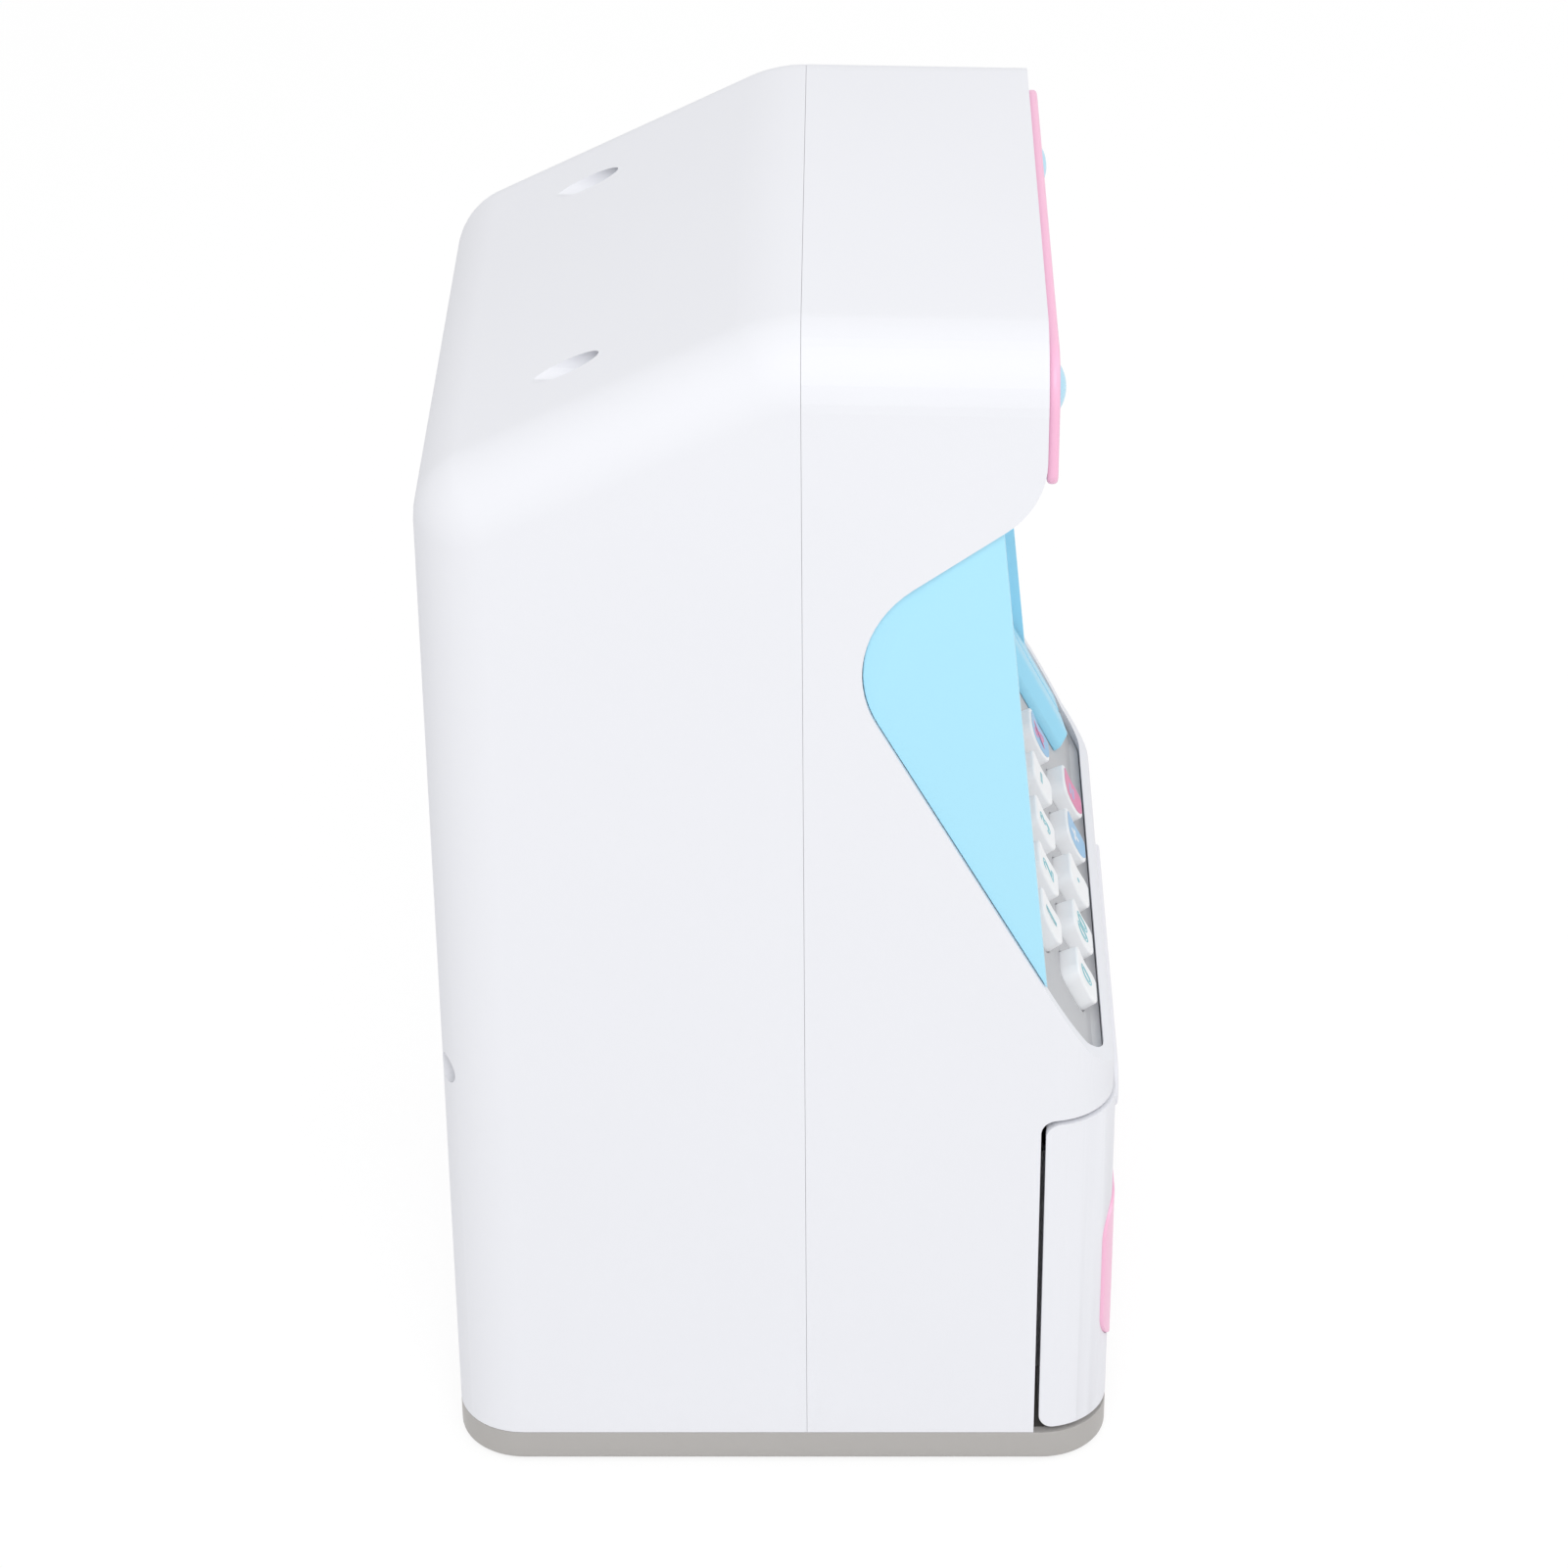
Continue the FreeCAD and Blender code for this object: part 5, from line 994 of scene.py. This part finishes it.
for node, stacks in SCREW_GROUPS.items():
    screws = add_mesh(node + "_turned", *several(stacks))
    smooth_by_angle(screws, 35.0)
    dress(screws, node_body[node], "steel", STEEL, node)
    shift = mesh_points(screws.data).min(axis=0) - node_points(node).min(axis=0)
    print(node, len(stacks), "lowest corner off by mm", np.round(shift / MM, 2).tolist())

# %% [markdown]
# ## Display segments
#
# The liquid-crystal cell shows figures of seven bars. All the bars are faintly there, and the lit ones are
# dark: the display stands at nought. Each bar is a flat six-sided plate with pointed ends.

# %% Seven-bar figures

DIGIT_HEIGHT = 7.6 * MM
DIGIT_WIDTH = 4.0 * MM
DIGIT_PITCH = 6.4 * MM
BAR_HALF = 0.42 * MM
BAR_GAP = 0.12 * MM
INK_THICK = 0.05 * MM
DIGITS = 8
ALL_BARS = "abcdefg"
NOUGHT = "abcdef"


def bar_rings(start, end):
    """A bar from start to end: points at both ends, flanks beside them, as two hexagons a hair apart."""
    along = (end - start) / np.linalg.norm(end - start)
    aside = np.array([-along[1], along[0]])
    tail, tip = start + along * BAR_GAP, end - along * BAR_GAP
    inner_tail, inner_tip = tail + along * BAR_HALF, tip - along * BAR_HALF
    outline = np.stack([
        tail, inner_tail - aside * BAR_HALF, inner_tip - aside * BAR_HALF,
        tip, inner_tip + aside * BAR_HALF, inner_tail + aside * BAR_HALF])
    return stack_loops([outline, outline], [0.0, INK_THICK])


def digit_bars(lit):
    """The named bars of one seven-bar figure, about its middle."""
    x, y = DIGIT_WIDTH / 2, DIGIT_HEIGHT / 2
    ends = {
        "a": ((-x, y), (x, y)), "b": ((x, y), (x, 0)), "c": ((x, 0), (x, -y)), "d": ((x, -y), (-x, -y)),
        "e": ((-x, -y), (-x, 0)), "f": ((-x, 0), (-x, y)), "g": ((-x, 0), (x, 0)),
    }
    return [bar_rings(np.array(start), np.array(end)) for bar, (start, end) in ends.items() if bar in lit]


lcd = node_points("lcd_module")
lcd_front = lcd[:, 1].min()
lcd_middle = (lcd.min(axis=0) + lcd.max(axis=0)) / 2
ghosts = [(ALL_BARS, index) for index in range(DIGITS - 1)] + [("g", DIGITS - 1)]
figure = [(NOUGHT, DIGITS - 1)]
for name, ink, shown in (("ghost", INK_GHOST, ghosts), ("figure", INK_DARK, figure)):
    stacks = []
    for lit, index in shown:
        shift = np.array([(index - (DIGITS - 1) / 2) * DIGIT_PITCH, 0.0, 0.0])
        stacks += [rings + shift for rings in digit_bars(lit)]
    points, faces = several(stacks)
    place = np.array([lcd_middle[0], lcd_front - 0.02 * MM, lcd_middle[2]])
    bars = add_mesh("lcd_" + name + "_bars", points @ FRONT_AXES + place, faces)
    dress(bars, node_body["lcd_module"], "lcd_cell", ink)
    print(name, "bars", len(stacks))

# %% [markdown]
# ## Camera
#
# The photo looks at the left-hand side from a little above, with a long lens. The camera stands on the -X
# side, turned to look along +X and tilted down; the shift puts the picture's middle where the photo has it.

# %% Camera

camera_data = bpy.data.cameras.new("camera")
camera = bpy.data.objects.new("camera", camera_data)
bpy.context.scene.collection.objects.link(camera)
camera.location = (-0.8005, -0.01305, 0.6041)
camera.rotation_euler = (math.radians(58.8), 0.0, math.radians(-90.0))
PHOTO_SIDE = 1601.0
FOCAL_PIXELS = 4700.0
PRINCIPAL_X = 868.0
camera_data.sensor_width = 36.0
camera_data.lens = FOCAL_PIXELS / PHOTO_SIDE * camera_data.sensor_width
camera_data.shift_x = (PHOTO_SIDE / 2 - PRINCIPAL_X) / PHOTO_SIDE
bpy.context.scene.camera = camera
print("lens", round(camera_data.lens, 1), "shift", round(camera_data.shift_x, 4))

# %% [markdown]
# ## Light and floor
#
# A product photo on pure white: one large soft lamp from above, a fill from the front and a bright world.
# The floor is pale and keeps a soft shadow; rays from the camera see it as white.

# %% World and lamps

scene = bpy.context.scene
scene.view_settings.view_transform = "Standard"


def white_for_camera(tree, lit_strength):
    """White for camera, glossy and see-through rays, and the lit strength for all others."""
    path = tree.nodes.new("ShaderNodeLightPath")
    first = math_node(tree, "MAXIMUM", path.outputs["Is Camera Ray"], path.outputs["Is Glossy Ray"])
    seen = math_node(tree, "MAXIMUM", first, path.outputs["Is Transmission Ray"])
    mix = tree.nodes.new("ShaderNodeMix")
    mix.data_type = "FLOAT"
    tree.links.new(seen, mix.inputs["Factor"])
    mix.inputs["A"].default_value = lit_strength
    mix.inputs["B"].default_value = 1.0
    return mix.outputs[0], seen


world = bpy.data.worlds.new("studio")
scene.world = world
world.use_nodes = True
strength, _ = white_for_camera(world.node_tree, 0.7)
world.node_tree.links.new(strength, world.node_tree.nodes["Background"].inputs["Strength"])
world.node_tree.nodes["Background"].inputs["Color"].default_value = (1.0, 1.0, 1.0, 1.0)


def soft_lamp(name, place, target, size, power):
    """A square area lamp that faces its target."""
    data = bpy.data.lights.new(name, "AREA")
    data.size = size
    data.energy = power
    lamp = bpy.data.objects.new(name, data)
    scene.collection.objects.link(lamp)
    lamp.location = place
    heading = np.array(target) - np.array(place)
    yaw = math.atan2(heading[1], heading[0]) - math.pi / 2
    tilt = math.atan2(math.hypot(heading[0], heading[1]), -heading[2])
    lamp.rotation_euler = (tilt, 0.0, yaw)
    return lamp


MIDDLE = (0.0, 0.0, 0.12)
soft_lamp("side_softbox", (-0.9, -0.05, 1.15), MIDDLE, 0.8, 6.05)
soft_lamp("front_fill", (0.1, -1.2, 0.9), MIDDLE, 0.9, 1.8)

# %% Floor


def pale_floor(half_side):
    """A level sheet far larger than the object, from a grid of four points."""
    corners = np.array([[-1, -1, 0], [1, -1, 0], [1, 1, 0], [-1, 1, 0]]) * half_side
    floor = add_mesh("floor", corners, [np.array([[0, 1, 2, 3]])])
    material = bpy.data.materials.new("pale_floor")
    material.use_nodes = True
    tree = material.node_tree
    shader = tree.nodes["Principled BSDF"]
    shader.inputs["Base Color"].default_value = (0.9, 0.9, 0.9, 1.0)
    shader.inputs["Roughness"].default_value = 0.9
    glow = tree.nodes.new("ShaderNodeEmission")
    glow.inputs["Strength"].default_value = 1.06
    _, seen = white_for_camera(tree, 1.0)
    share = math_node(tree, "MULTIPLY", seen, 0.8)
    blend = tree.nodes.new("ShaderNodeMixShader")
    tree.links.new(share, blend.inputs[0])
    tree.links.new(shader.outputs[0], blend.inputs[1])
    tree.links.new(glow.outputs[0], blend.inputs[2])
    tree.links.new(blend.outputs[0], tree.nodes["Material Output"].inputs["Surface"])
    floor.data.materials.append(material)
    return floor


pale_floor(6.0)
